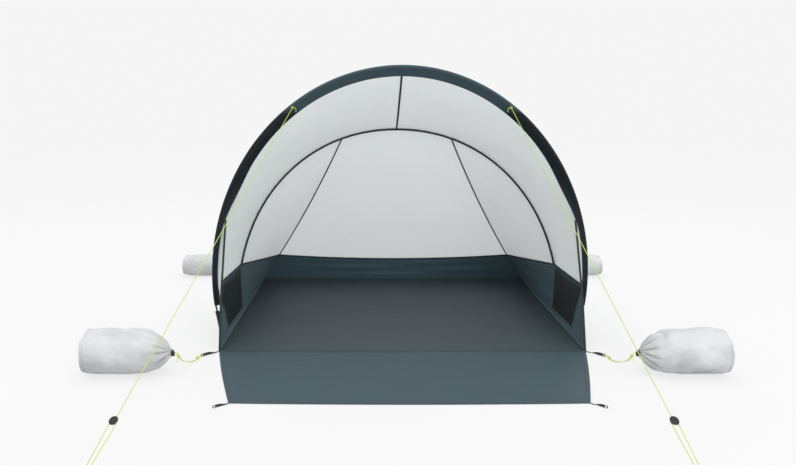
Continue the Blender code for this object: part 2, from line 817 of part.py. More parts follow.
def add_box(name, frame, size, make_material):
    """A block from a primitive cube, its near end at the frame's origin."""
    shape = bmesh.new()
    bmesh.ops.create_cube(shape, size=1.0)
    bmesh.ops.scale(shape, vec=size, verts=shape.verts)
    bmesh.ops.translate(shape, vec=(size[0] / 2, 0, 0), verts=shape.verts)
    bmesh.ops.transform(shape, matrix=frame, verts=shape.verts)
    mesh = bpy.data.meshes.new(name)
    shape.to_mesh(mesh)
    shape.free()
    mesh.materials.append(make_material())
    built = bpy.data.objects.new(name, mesh)
    bpy.data.collections[COLLECTION].objects.link(built)
    return built


def add_disc(name, frame, radius, thickness, make_material, segments=20):
    """A disc or barrel from a primitive cylinder, its axis along the frame's Z."""
    shape = bmesh.new()
    bmesh.ops.create_cone(shape, cap_ends=True, segments=segments, radius1=radius,
                          radius2=radius, depth=thickness)
    bmesh.ops.transform(shape, matrix=frame, verts=shape.verts)
    mesh = bpy.data.meshes.new(name)
    shape.to_mesh(mesh)
    shape.free()
    mesh.shade_smooth()
    mesh.set_sharp_from_angle(angle=math.radians(40))
    mesh.materials.append(make_material())
    built = bpy.data.objects.new(name, mesh)
    bpy.data.collections[COLLECTION].objects.link(built)
    return built


def build_peg(side, spot):
    """The top of a bent steel peg, from the ground up, hooked away from the shelter."""
    x, y = spot
    away = unit((x, y, 0.0))
    base = np.array([x, y, 0.0])
    straight = PEG_HEIGHT - PEG_HOOK
    points = [base, base + (0, 0, straight)]
    for angle in np.radians([30, 60, 90, 130]):
        over = PEG_HOOK * (1 - math.cos(angle)) * away
        points.append(base + over + np.array([0, 0, straight + PEG_HOOK * math.sin(angle)]))
    return add_tube(f"guy_peg_{side}", points, PEG_RADIUS, peg_steel)


def build_guy(side, sign, front):
    """Tab, cord, slider and peg of one guy line."""
    length = front.length_at_width(GUY_TAB_X)
    pole = front.at(length)
    along = front.along(length)
    if sign < 0:
        pole = mirrored(pole)
        along = mirrored(along)
    spot = GUY_PEG_SPOTS[side]
    peg = np.array([*spot, GUY_LOOP_HEIGHT])
    out = across(peg - pole, along)
    tab_start = pole + out * (SLEEVE_RADIUS + GUY_TAB_OFF_SLEEVE)
    tab = local_frame(tab_start, out, np.cross(out, along))
    width, thickness, reach = GUY_TAB_SIZE
    add_box(f"guy_tab_{side}", tab, (reach, width, thickness), webbing)

    direction = unit(peg - (tab_start + out * reach))
    start = tab_start + out * reach + direction * GUY_TAB_TO_CORD
    centre = mix(start, peg, GUY_SLIDER_AT)
    upward = np.array([0.0, 0.0, 1.0])
    frame = local_frame(centre, direction, upward)
    behind = -(SLIDER_THICKNESS / 2 + REST_GAP + GUY_RADIUS)
    lift = Matrix.Translation(Vector(-np.array(frame.col[2][:3]) * behind))
    add_disc(f"guy_slider_{side}", lift @ frame, SLIDER_RADIUS, SLIDER_THICKNESS, black_plastic)

    half = SLIDER_STRAND_HALF
    flat = across(frame.col[1][:3], upward)
    forward = across(direction, upward)
    turn = PEG_RADIUS + GUY_RADIUS + REST_GAP
    points = [start, place_in(frame, -SLIDER_RADIUS, 0, 0),
              place_in(frame, 0, SLIDER_HOLE_HALF, 0), place_in(frame, SLIDER_RADIUS, half, 0)]
    for angle in np.radians(np.linspace(90, -90, 7)):
        points.append(peg + turn * (math.sin(angle) * flat + math.cos(angle) * forward))
    points += [place_in(frame, SLIDER_RADIUS, -half, 0),
               place_in(frame, 0, -SLIDER_HOLE_HALF, 0)]
    add_tube(f"guy_line_{side}", points, GUY_RADIUS, lime_cord)
    build_peg(side, spot)


# Straps, loops and sandbags


def build_strap(name, start, end, height, thickness, hole_back):
    """Webbing on edge, with a round hole near its end for a cord or a peg."""
    start = np.array([*start, height / 2])
    end = np.array([*end, height / 2])
    frame = local_frame(start, end - start, (0, 0, 1))
    length = float(np.linalg.norm(end - start))
    strap = add_box(name, frame, (length, thickness, height), webbing)
    hole_frame = frame @ Matrix.Translation((length - hole_back, 0, 0))
    hole_frame = hole_frame @ Matrix.Rotation(math.pi / 2, 4, "X")
    cutter = add_disc(name + "_hole", hole_frame, STRAP_HOLE, thickness * 4, webbing, 12)
    cutter.hide_render = True
    cutter.display_type = "WIRE"
    bpy.data.collections[COLLECTION].objects.unlink(cutter)
    bpy.data.collections[COLLECTION + "_cutters"].objects.link(cutter)
    cut = strap.modifiers.new("hole", "BOOLEAN")
    cut.operation = "DIFFERENCE"
    cut.object = cutter
    return frame @ Vector((length - hole_back, 0, 0)), frame


class Bag:
    """Sizes and place of one sand-filled bag, on the right-hand side."""

    def __init__(self, y, height, width, neck_x, far_x, neck_height):
        self.y = y
        self.height = height
        self.width = width
        self.neck_x = neck_x
        self.far_x = far_x
        self.neck_height = neck_height


FRONT_BAG = Bag(-1.015, 0.205, 0.225, 1.060, 1.450, 0.090)
REAR_BAG = Bag(0.868, 0.150, 0.220, 1.100, 1.505, 0.060)

# How full a bag is along its length, from its gathered neck to its sewn end
BAG_PROFILE = (
    (0.000, 0.10), (0.040, 0.17), (0.100, 0.52), (0.190, 0.82), (0.330, 0.97),
    (0.520, 1.00), (0.720, 0.97), (0.880, 0.90), (0.960, 0.74), (1.000, 0.46),
)
BAG_SIDES = 16


def build_bag(name, sign, bag):
    """A slumped sack on its side, flat where it rests on the ground."""
    vertices = []
    for share, fullness in BAG_PROFILE:
        x = bag.neck_x + (bag.far_x - bag.neck_x) * share
        half_height = bag.height / 2 * fullness
        half_width = bag.width / 2 * fullness
        lift = mix(bag.neck_height, bag.height / 2, smooth_step(share, 0.0, 0.4))
        for k in range(BAG_SIDES):
            angle = 2 * math.pi * k / BAG_SIDES
            y = bag.y + half_width * math.cos(angle)
            z = float(lift) + half_height * math.sin(angle)
            vertices.append((sign * x, y, max(z, 0.0)))
    faces = [tuple(range(BAG_SIDES))]
    last = (len(BAG_PROFILE) - 1) * BAG_SIDES
    faces.append(tuple(range(last + BAG_SIDES - 1, last - 1, -1)))
    for ring in range(len(BAG_PROFILE) - 1):
        for k in range(BAG_SIDES):
            a = ring * BAG_SIDES + k
            b = ring * BAG_SIDES + (k + 1) % BAG_SIDES
            faces.append((a, b, b + BAG_SIDES, a + BAG_SIDES))
    return add_mesh(name, vertices, faces, bag_cloth)


def smooth_route(points, spacing):
    """Points along a smooth curve through a route's own points, closer at tight turns."""
    points = np.array(points, dtype=float)
    spans = np.diff(points, axis=0)
    lengths = np.linalg.norm(spans, axis=1)
    slopes = spans / lengths[:, None]
    tangents = [slopes[0]]
    for k in range(1, len(spans)):
        tangents.append(mix(slopes[k - 1], slopes[k], lengths[k - 1] / (lengths[k - 1] + lengths[k])))
    tangents.append(slopes[-1])
    route = []
    for k, length in enumerate(lengths):
        steps = max(2, math.ceil(length / spacing))
        for t in np.linspace(0, 1, steps, endpoint=False):
            route.append(mix(points[k], points[k + 1], t * t * (3 - 2 * t))
                         + length * t * (1 - t) ** 2 * tangents[k]
                         - length * t * t * (1 - t) * tangents[k + 1])
    route.append(points[-1])
    return np.array(route)


def build_corner(place, side, sign, bag, outward):
    """Strap, cord, cord lock and sandbag of one floor corner."""
    corner = np.array([FLOOR_HALF_WIDTH, outward * FLOOR_HALF_DEPTH])
    reach = np.array([STRAP_REACH[0], outward * STRAP_REACH[1]])
    root = corner + unit(reach) * STRAP_ROOT[place]
    tip = corner + reach
    flip = np.array([sign, 1.0])
    hole, frame = build_strap(f"corner_strap_{place}_{side}", root * flip, tip * flip,
                              STRAP_HEIGHT, STRAP_THICKNESS, STRAP_HOLE_BACK)
    build_bag(f"sandbag_{place}_{side}", sign, bag)

    lock_x = bag.neck_x - REST_GAP - LOCK_RADIUS
    lock_centre = np.array([sign * lock_x, bag.y, bag.neck_height])
    lock_frame = local_frame(lock_centre, (sign, 0, 0), (0, 0, 1))
    add_disc(f"cord_lock_{place}_{side}", lock_frame, LOCK_RADIUS, LOCK_LENGTH, black_plastic, 12)

    start_x = lock_x - LOCK_RADIUS - REST_GAP
    along = np.array(frame.col[0][:3])
    hole = np.array(hole) + along * STRAP_BEARING
    over = np.array(frame.col[1][:3])
    toward = unit([hole[0] - sign * start_x, hole[1] - bag.y, 0.0])
    sideways = np.cross(toward, (0, 0, 1))
    ground = CORD_RADIUS + CORD_OFF_GROUND
    leave = np.array([sign * start_x, bag.y, bag.neck_height])
    flat_gap = np.linalg.norm((hole - leave)[:2])
    strands = []
    for hand in (1, -1):
        off = hand * CORD_PAIR_HALF * sideways
        upright = hand * CORD_LOCK_HALF * np.array([0.0, 1.0, 0.0])
        first, second, third = (toward * flat_gap * share for share in CORD_LANDS_AT)
        strands.append([
            leave + upright,
            leave + upright - np.array([sign * CORD_LEAVES_LOCK[0], 0, CORD_LEAVES_LOCK[1]]),
            leave + off - np.array([sign * CORD_DROPS_AT, 0, CORD_DROP * bag.neck_height]),
            [*(leave + off + first)[:2], ground + CORD_LANDS_FROM[0]],
            [*(leave + off + second)[:2], ground + CORD_LANDS_FROM[1]],
            [*(leave + off * CORD_PAIR_OPENS + third)[:2], ground],
        ])
    beside = over * (STRAP_THICKNESS / 2 + CORD_RADIUS + 3 * REST_GAP)
    if np.dot(over, sideways) < 0:
        beside = -beside
    past = along * CORD_ROUND_STRAP[0]
    wide = unit(beside) * CORD_ROUND_STRAP[1]
    turn = [hole + past + beside + wide, hole + beside, hole, hole - beside,
            hole + past - beside - wide]
    route = strands[0] + turn + strands[1][::-1]
    return add_tube(f"sandbag_cord_{place}_{side}", smooth_route(route, 3 * 2 * CORD_RADIUS),
                    CORD_RADIUS, lime_cord)


def build_flap_loop(side, sign):
    corner = np.array([FLAP_FRONT_HALF_WIDTH, -FLOOR_HALF_DEPTH - FLAP_LENGTH])
    reach = np.array([LOOP_REACH[0], -LOOP_REACH[1]])
    root = corner + unit(reach) * (REST_GAP + SEAM_GAP / 2)
    tip = corner + reach
    flip = np.array([sign, 1.0])
    build_strap(f"flap_loop_{side}", root * flip, tip * flip, LOOP_HEIGHT, STRAP_THICKNESS,
                LOOP_HOLE_BACK)


def main():
    for existing in list(bpy.data.objects):
        bpy.data.objects.remove(existing, do_unlink=True)
    new_collection(COLLECTION)
    new_collection(COLLECTION + "_cutters")
    new_collection(COLLECTION + "_joined")

    front = front_arch()
    rear = rear_arch()
    fronts, rears = arch_stations(front, rear, row_shares(front, rear))
    seams = Seams(fronts, rears)

    build_floor()
    build_flap()
    for panel in all_panels(seams):
        build_panel(panel)

    build_sleeve("front_sleeve", fronts, sleeve_cloth)
    build_sleeve("rear_sleeve", rears, sleeve_cloth)
    front_foot = pole_foot(fronts, front, 0.0)
    rear_foot = pole_foot(rears, rear, REAR_SLEEVE_REACH)
    build_pole("front_pole", fronts, front_foot)
    build_pole("rear_pole", rears, rear_foot)

    feet = []
    for stations, foot in ((fronts, front_foot), (rears, rear_foot)):
        end = stations[-1].pole
        slope = (end - foot) / (end[2] - foot[2])
        feet.append((foot - slope * foot[2], foot + slope * (POCKET_HEIGHT - foot[2])))

    for side, sign in (("left", -1), ("right", 1)):
        build_foot_webbing(side, sign, feet, seams)
        build_net(side, sign, seams)
        build_guy(side, sign, front)
        build_flap_loop(side, sign)
        build_corner("front", side, sign, FRONT_BAG, -1)
        build_corner("rear", side, sign, REAR_BAG, 1)


main()
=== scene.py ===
# %% [markdown]
# # A beach shelter: cloth, poles and cords
#
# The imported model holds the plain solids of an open-fronted beach shelter: a canopy on two
# bent poles, a groundsheet with low walls, guy lines and four sandbags.  Each cell below
# dresses one group of those pieces.  Loading the model first fixes the place of everything,
# so a new piece is always made where its solid is.

import json
import math

import bmesh
import bpy
import numpy as np
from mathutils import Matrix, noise

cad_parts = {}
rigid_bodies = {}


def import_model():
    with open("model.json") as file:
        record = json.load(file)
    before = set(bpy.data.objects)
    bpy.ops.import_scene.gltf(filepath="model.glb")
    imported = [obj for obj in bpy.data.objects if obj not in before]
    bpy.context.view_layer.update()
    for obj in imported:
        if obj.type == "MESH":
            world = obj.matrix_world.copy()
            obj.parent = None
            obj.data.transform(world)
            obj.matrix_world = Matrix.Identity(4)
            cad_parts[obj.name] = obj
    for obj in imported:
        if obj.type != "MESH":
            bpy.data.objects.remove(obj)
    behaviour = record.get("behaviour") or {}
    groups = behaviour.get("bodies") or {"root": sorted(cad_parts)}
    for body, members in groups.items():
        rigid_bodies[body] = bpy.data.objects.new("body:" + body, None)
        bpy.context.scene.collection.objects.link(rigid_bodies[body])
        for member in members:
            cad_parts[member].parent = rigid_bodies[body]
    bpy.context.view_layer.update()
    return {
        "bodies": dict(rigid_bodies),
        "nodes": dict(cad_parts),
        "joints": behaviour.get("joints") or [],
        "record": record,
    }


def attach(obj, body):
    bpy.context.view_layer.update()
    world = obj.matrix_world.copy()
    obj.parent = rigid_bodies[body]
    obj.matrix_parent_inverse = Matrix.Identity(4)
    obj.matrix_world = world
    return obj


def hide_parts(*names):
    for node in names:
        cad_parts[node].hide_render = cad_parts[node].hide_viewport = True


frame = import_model()

# %% [markdown]
# ## The camera
#
# The photograph was taken from the front at the height of a person's chest, looking a little
# down.  Its focal length in pixels gives the lens, and a sideways shift stands for the crop.
# The plain view transform keeps a colour in the picture close to the colour of the paint.

# %% Place the camera
PHOTO_WIDTH = 796
CAMERA_PLACE = (-0.16, -3.9655, 1.166)
CAMERA_TILT = 10.04
FOCAL_PIXELS = 683.3
OPTICAL_MIDDLE = 370
SENSOR = 36.0

lens = bpy.data.cameras.new("photographer")
lens.sensor_width = SENSOR
lens.lens = SENSOR * FOCAL_PIXELS / PHOTO_WIDTH
lens.shift_x = (PHOTO_WIDTH / 2 - OPTICAL_MIDDLE) / PHOTO_WIDTH
camera = bpy.data.objects.new("photographer", lens)
camera.location = CAMERA_PLACE
camera.rotation_euler = (math.radians(90 - CAMERA_TILT), 0, 0)
bpy.context.scene.collection.objects.link(camera)
bpy.context.scene.camera = camera
bpy.context.scene.view_settings.view_transform = "Standard"
print("lens", round(lens.lens, 2), "mm, shift", round(lens.shift_x, 4))

# %% [markdown]
# ## Shader sums as plain Python
#
# A weave or a braid is a sum of sines.  Wiring Math nodes by hand hides that, so a small
# class wraps a socket and turns each Python operator into one Math node.  Everything else
# comes from one method that makes a node from its type, settings and inputs.


# %% A socket that does sums
class Wire:
    """One output socket that can be added, multiplied and compared like a number."""

    def __init__(self, board, socket):
        self.board = board
        self.socket = socket

    def __add__(self, other):
        return self.board.math("ADD", self, other)

    def __radd__(self, other):
        return self.board.math("ADD", other, self)

    def __sub__(self, other):
        return self.board.math("SUBTRACT", self, other)

    def __rsub__(self, other):
        return self.board.math("SUBTRACT", other, self)

    def __mul__(self, other):
        return self.board.math("MULTIPLY", self, other)

    def __rmul__(self, other):
        return self.board.math("MULTIPLY", other, self)

    def __truediv__(self, other):
        return self.board.math("DIVIDE", self, other)

    def __gt__(self, other):
        return self.board.math("GREATER_THAN", self, other)

    def sine(self):
        return self.board.math("SINE", self)

    def size(self):
        return self.board.math("ABSOLUTE", self)

    def smaller(self, other):
        return self.board.math("MINIMUM", self, other)

    def larger(self, other):
        return self.board.math("MAXIMUM", self, other)


# %% A board that nodes are wired on
class Board:
    """A node tree, and short ways to add a node to it and wire its inputs."""

    def __init__(self, tree):
        self.tree = tree

    def node(self, kind, settings=None, inputs=None, output=0):
        made = self.tree.nodes.new(kind)
        for key, value in (settings or {}).items():
            if key == "stops":
                for stop, (place, colour) in zip(made.color_ramp.elements, value):
                    stop.position = place
                    stop.color = colour
            else:
                setattr(made, key, value)
        for key, value in (inputs or {}).items():
            self.plug(made.inputs[key], value)
        return Wire(self, made.outputs[output])

    def plug(self, socket, value):
        if isinstance(value, Wire):
            self.tree.links.new(value.socket, socket)
        else:
            socket.default_value = value

    def math(self, operation, first, second=0.0):
        return self.node("ShaderNodeMath", {"operation": operation}, {0: first, 1: second})


# %% A paint pot for one finish
class Paint(Board):
    """One material: a Principled shader and the nodes that vary it."""

    def __init__(self, name, **fixed):
        self.material = bpy.data.materials.new(name)
        self.material.use_nodes = True
        super().__init__(self.material.node_tree)
        self.shader = self.tree.nodes["Principled BSDF"]
        self.bumps = None
        for socket, value in fixed.items():
            self.shader.inputs[socket.replace("_", " ")].default_value = value

    def set(self, socket, value):
        self.plug(self.shader.inputs[socket], value)

    def place(self):
        """Object coordinates in metres."""
        return self.node("ShaderNodeTexCoord", output="Object")

    def along_and_across(self):
        """The piece's own UV map, laid out in metres: along it and across it."""
        both = self.node("ShaderNodeTexCoord", output="UV")
        along = self.node("ShaderNodeSeparateXYZ", inputs={0: both}, output=0)
        across = self.node("ShaderNodeSeparateXYZ", inputs={0: both}, output=1)
        return along, across

    def cloud(self, scale, detail=3.0, distortion=0.0, vector=None):
        return self.node("ShaderNodeTexNoise", inputs={
            "Vector": vector or self.place(), "Scale": scale, "Detail": detail,
            "Distortion": distortion})

    def blend(self, share, first, second):
        """A colour between two colours."""
        return self.node("ShaderNodeMix", {"data_type": "RGBA"}, {
            "Factor": share, 6: (*first, 1.0) if isinstance(first, tuple) else first,
            7: (*second, 1.0) if isinstance(second, tuple) else second}, output=2)

    def bump(self, height, strength, distance):
        """Adds one more layer of relief on top of the ones before."""
        inputs = {"Height": height, "Strength": strength, "Distance": distance}
        if self.bumps is not None:
            inputs["Normal"] = self.bumps
        self.bumps = self.node("ShaderNodeBump", inputs=inputs)
        self.set("Normal", self.bumps)


TURN = 2 * math.pi
print("shader helpers ready")

# %% [markdown]
# ## Cloth finishes
#
# The canopy is a thin coated polyester in pale silver grey.  The flap is a slate blue coated
# sheet, the floor is a greyer one, and walls and pole sleeves are darker shades.  All are plain
# weaves, so they share one recipe: a fine over-and-under relief from the UV map, soft creases
# from stretched noise, and a faint change of tone.  Daylight also comes through the thin
# canopy, which scattering inside its thickness gives.  The sleeve is slate over the doorway,
# and below the guy tabs it has a painted shade that is nearly black.


# %% One recipe for coated cloth
def coated_cloth(name, colour, darker, roughness, thread, crease, sheen=0.05, glow=0.0):
    paint = Paint(name, Sheen_Weight=sheen, Subsurface_Weight=glow, Subsurface_Scale=0.02,
                  Subsurface_Radius=(1.0, 1.0, 1.0))
    along, across = paint.along_and_across()
    over = (along * (TURN / thread)).sine()
    under = (across * (TURN / thread)).sine()
    weave = over * under
    mottle = paint.cloud(2.3, 4.0, 0.6)
    fine = paint.cloud(60.0, 2.0)
    share = mottle * 0.7 + fine * 0.3
    paint.set("Base Color", paint.blend(share, darker, colour))
    paint.set("Roughness", fine * 0.12 + (roughness - 0.06))
    folds = paint.cloud(5.5, 2.0, 1.4)
    paint.bump(folds, 0.35, crease)
    crumple = paint.cloud(26.0, 3.0, 0.8)
    paint.bump(crumple, 0.25, crease * 0.25)
    paint.bump(weave, 0.25, thread * 0.3)
    return paint


canopy_cloth = coated_cloth("canopy_cloth", (0.640, 0.725, 0.735), (0.585, 0.670, 0.680), 0.55,
                            0.0011, 0.010, glow=0.65)
ground_cloth = coated_cloth("ground_cloth", (0.037, 0.080, 0.102), (0.031, 0.067, 0.086), 0.55,
                            0.0014, 0.008)
floor_cloth = coated_cloth("floor_cloth", (0.037, 0.063, 0.080), (0.029, 0.049, 0.062), 0.55,
                           0.0014, 0.008)
wall_cloth = coated_cloth("wall_cloth", (0.074, 0.138, 0.166), (0.058, 0.108, 0.131), 0.60,
                          0.0014, 0.008)
sleeve_cloth = coated_cloth("sleeve_cloth", (0.058, 0.102, 0.122), (0.042, 0.076, 0.092), 0.55,
                            0.0011, 0.006)
seam_tape = coated_cloth("seam_tape", (0.014, 0.018, 0.021), (0.009, 0.012, 0.014), 0.65,
                         0.0009, 0.002)
fine_seam_tape = coated_cloth("fine_seam_tape", (0.085, 0.098, 0.102), (0.065, 0.076, 0.080),
                              0.6, 0.0009, 0.002)

# Painted shade on the sleeve: below the guy tabs its paint blends to nearly black, where the sleeve
# turns away from the light.
SLEEVE_CHANGE = (1.150, 1.185)
upper_tone = Wire(sleeve_cloth, sleeve_cloth.shader.inputs["Base Color"].links[0].from_socket)
height = sleeve_cloth.node("ShaderNodeSeparateXYZ", inputs={0: sleeve_cloth.place()}, output=2)
share_up = sleeve_cloth.node("ShaderNodeMapRange", inputs={
    0: height, 1: SLEEVE_CHANGE[0], 2: SLEEVE_CHANGE[1]})
sleeve_painted_shade_tone = sleeve_cloth.blend(sleeve_cloth.cloud(7.0), (0.006, 0.011, 0.016),
                                (0.011, 0.018, 0.025))
sleeve_cloth.shader.inputs["Specular IOR Level"].default_value = 0.25
sleeve_cloth.set("Base Color", sleeve_cloth.blend(share_up, sleeve_painted_shade_tone, upper_tone))
print("cloth finishes:", canopy_cloth.material.name, ground_cloth.material.name)

# %% [markdown]
# ## Sack, net, tape, cord, plastic and steel
#
# The sandbags are a soft uncoated weave, so their threads are coarser and their creases
# deeper.  Netting is mostly holes: two crossing families of threads are left opaque and the
# rest is cut away with Alpha.  Tape shows slanted ribs, and a cord shows the diamonds of its
# braid with a pale tracer thread.


# %% Sack and netting
sack_cloth = coated_cloth("sack_cloth", (0.775, 0.80, 0.80), (0.68, 0.70, 0.70), 0.80,
                          0.0016, 0.012, sheen=0.10)
# Painted shade: a value on each point darkens the sack towards grey, low down and deep in its folds.
unshaded_sack_tone = Wire(sack_cloth, sack_cloth.shader.inputs["Base Color"].links[0].from_socket)
soiled = sack_cloth.node("ShaderNodeAttribute", {"attribute_name": "soiled"}, output=2)
sack_cloth.set("Base Color", sack_cloth.blend(soiled, unshaded_sack_tone, (0.33, 0.34, 0.355)))

NET_PITCH = 0.0030
NET_THREAD = 0.42
netting = Paint("netting", Roughness=0.7)
net_along, net_across = netting.along_and_across()
rising = ((net_along + net_across) * (math.pi / NET_PITCH)).sine().size()
falling = ((net_along - net_across) * (math.pi / NET_PITCH)).sine().size()
nearest_thread = rising.smaller(falling)
thread_here = 1.0 - (nearest_thread > NET_THREAD)
netting.set("Alpha", thread_here)
netting.set("Base Color", netting.blend(netting.cloud(40.0), (0.010, 0.012, 0.013),
                                        (0.028, 0.032, 0.034)))
netting.bump(1.0 - nearest_thread, 0.5, 0.0006)
print("net pitch", NET_PITCH * 1000, "mm")


# %% Tape and cord
def ribbed_tape(name, dark, light):
    paint = Paint(name, Roughness=0.72, Sheen_Weight=0.2)
    along, across = paint.along_and_across()
    ribs = ((along + across.size() * 0.9) * (TURN / 0.0021)).sine()
    edge = (across * (TURN / 0.0008)).sine()
    # Painted shade: the tape is darker where the ribs' relief is low, between them.
    paint.set("Base Color", paint.blend(ribs * 0.35 + 0.5, dark, light))
    paint.bump(ribs + edge * 0.3, 0.5, 0.0005)
    return paint


def braided_cord(name, colour, shade, tracer, girth):
    paint = Paint(name, Roughness=0.6, Sheen_Weight=0.2)
    along, across = paint.along_and_across()
    rising_strand = (along * (TURN / 0.0042) + across * (2 * TURN / girth)).sine()
    falling_strand = (along * (TURN / 0.0042) - across * (2 * TURN / girth)).sine()
    diamonds = rising_strand * falling_strand
    # Painted shade: the strands are darker where their relief is low, in the grooves between them.
    strand_share = diamonds * 0.5 + 0.5
    plain = paint.blend(strand_share, shade, colour)
    fleck = (rising_strand > 0.93) * (falling_strand > 0.2)
    paint.set("Base Color", paint.blend(fleck, plain, tracer))
    paint.bump(diamonds, 0.6, 0.0006)
    return paint


CORD_RADIUS = 0.0015
webbing = ribbed_tape("webbing", (0.010, 0.010, 0.012), (0.026, 0.026, 0.030))
lime_cord = braided_cord("lime_cord", (0.68, 0.84, 0.065), (0.52, 0.68, 0.04),
                         (0.78, 0.88, 0.38), TURN * CORD_RADIUS)
print("cord girth", round(TURN * CORD_RADIUS * 1000, 2), "mm")

# %% Moulded plastic, glass fibre, steel and thread
black_plastic = Paint("black_plastic", Roughness=0.42)
grain = black_plastic.cloud(900.0, 2.0)
black_plastic.set("Base Color", black_plastic.blend(grain, (0.012, 0.012, 0.013),
                                                    (0.034, 0.034, 0.036)))
black_plastic.set("Roughness", grain * 0.25 + 0.32)
black_plastic.bump(grain, 0.25, 0.0002)

pole_glassfibre = Paint("pole_glassfibre", Roughness=0.35)
pole_along, pole_across = pole_glassfibre.along_and_across()
streak = pole_glassfibre.node("ShaderNodeTexNoise", inputs={
    "Vector": pole_glassfibre.node("ShaderNodeCombineXYZ", inputs={
        0: pole_along * 6.0, 1: pole_across * 900.0}), "Scale": 1.0, "Detail": 3.0})
pole_glassfibre.set("Base Color", pole_glassfibre.blend(streak, (0.018, 0.018, 0.020),
                                                        (0.050, 0.050, 0.054)))
pole_glassfibre.bump(streak, 0.2, 0.0002)

peg_steel = Paint("peg_steel", Metallic=1.0)
drawn = peg_steel.cloud(320.0, 4.0)
peg_steel.set("Base Color", peg_steel.blend(drawn, (0.42, 0.42, 0.43), (0.66, 0.66, 0.67)))
peg_steel.set("Roughness", drawn * 0.3 + 0.25)

thread = Paint("sewing_thread", Roughness=0.7)
twist = (thread.cloud(1500.0, 1.0) * 30.0).sine()
thread.set("Base Color", thread.blend(twist * 0.5 + 0.5, (0.050, 0.056, 0.060),
                                      (0.115, 0.125, 0.130)))
print("small finishes ready")

# %% [markdown]
# ## Making a skin from rings
#
# Tubes, tapes, sleeves and turned parts are all one idea: a row of closed rings joined by
# faces.  The UV map is laid in metres, along the row and round the ring, so that a weave or a
# braid keeps its real size whatever the piece is.


# %% Rings to faces
def unit(vector):
    vector = np.asarray(vector, dtype=float)
    return vector / np.maximum(np.linalg.norm(vector, axis=-1, keepdims=True), 1e-12)


def mix(first, second, share):
    return (1 - share) * np.asarray(first, dtype=float) + share * np.asarray(second, dtype=float)


def running_length(points):
    steps = np.linalg.norm(np.diff(np.asarray(points, dtype=float), axis=0), axis=1)
    return np.concatenate([[0.0], np.cumsum(steps)])


def skin(rings, capped=True):
    """Points, faces and UVs of a skin over closed rings."""
    rings = np.asarray(rings, dtype=float)
    count, size = rings.shape[:2]
    along = running_length(rings.mean(axis=1))
    widest = rings[count // 2]
    around = running_length(np.concatenate([widest, widest[:1]]))
    around = around - around[-1] / 2
    faces = []
    uvs = []
    for k in range(count - 1):
        for i in range(size):
            j = (i + 1) % size
            faces.append((k * size + i, k * size + j, (k + 1) * size + j, (k + 1) * size + i))
            uvs += [(along[k], around[i]), (along[k], around[i + 1]),
                    (along[k + 1], around[i + 1]), (along[k + 1], around[i])]
    if capped:
        for ring, place in ((0, 0.0), (count - 1, along[-1])):
            faces.append(tuple(ring * size + i for i in range(size)))
            uvs += [(place, around[i]) for i in range(size)]
    return rings.reshape(-1, 3), faces, uvs


def piece(name, parts, paint, nodes=(), smooth=True, sharp=40):
    """One object from one or more skins, riding on the shelter and never below the ground."""
    vertices = []
    faces = []
    uvs = []
    for points, quads, corners in parts:
        start = len(vertices)
        vertices += [(x, y, max(z, 0.0002)) for x, y, z in points]
        faces += [tuple(start + i for i in face) for face in quads]
        uvs += corners
    mesh = bpy.data.meshes.new(name)
    mesh.from_pydata(vertices, [], faces)
    layer = mesh.uv_layers.new(name="UVMap")
    layer.data.foreach_set("uv", np.array(uvs, dtype=np.float32).ravel())
    shape = bmesh.new()
    shape.from_mesh(mesh)
    bmesh.ops.remove_doubles(shape, verts=shape.verts, dist=2e-5)
    bmesh.ops.recalc_face_normals(shape, faces=shape.faces)
    shape.to_mesh(mesh)
    shape.free()
    if smooth:
        mesh.shade_smooth()
        mesh.set_sharp_from_angle(angle=math.radians(sharp))
    mesh.materials.append(paint.material)
    made = bpy.data.objects.new(name, mesh)
    bpy.context.scene.collection.objects.link(made)
    return settle(made, nodes)


def settle(made, nodes=()):
    """A finished piece rides on the shelter and stands for its solids."""
    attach(made, "root")
    if nodes:
        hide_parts(*nodes)
    return made


def mirrored(points):
    flipped = np.array(points, dtype=float)
    flipped[..., 0] *= -1
    return flipped


print("skin helpers ready")

# %% [markdown]
# A tube needs a frame that doesn't twist as it goes round bends.  Carrying the last ring's
# direction forward and squaring it to the new tangent is enough.


# %% Tubes, ribbons and turned shapes
def tangents(points):
    return unit(np.gradient(np.asarray(points, dtype=float), axis=0))


def tube(points, radius, sides=12):
    """Rings round a path; the radius may change along it."""
    points = np.asarray(points, dtype=float)
    radii = np.broadcast_to(radius, len(points))
    heading = tangents(points)
    reference = np.array([0.0, 0.0, 1.0])
    if abs(heading[0][2]) > 0.9:
        reference = np.array([0.0, 1.0, 0.0])
    rings = []
    for point, direction, size in zip(points, heading, radii):
        reference = unit(reference - np.dot(reference, direction) * direction)
        other = np.cross(direction, reference)
        angles = TURN * np.arange(sides) / sides
        rings.append(point + size * (np.cos(angles)[:, None] * reference
                                     + np.sin(angles)[:, None] * other))
    return np.array(rings)


def ribbon(points, normals, width, thickness):
    """Rings of a flat tape whose edges are rounded."""
    points = np.asarray(points, dtype=float)
    sideways = unit(np.cross(normals, tangents(points)))
    upward = unit(np.cross(tangents(points), sideways))
    half = np.broadcast_to(width, len(points))[:, None, None] / 2
    thin = thickness / 2
    across = np.array([-1.0, -0.94, 0.0, 0.94, 1.0, 0.94, 0.0, -0.94])[None, :, None]
    rise = np.array([0.0, 1.0, 1.0, 1.0, 0.0, -1.0, -1.0, -1.0])[None, :, None]
    return (points[:, None] + sideways[:, None] * half * across
            + upward[:, None] * thin * rise)


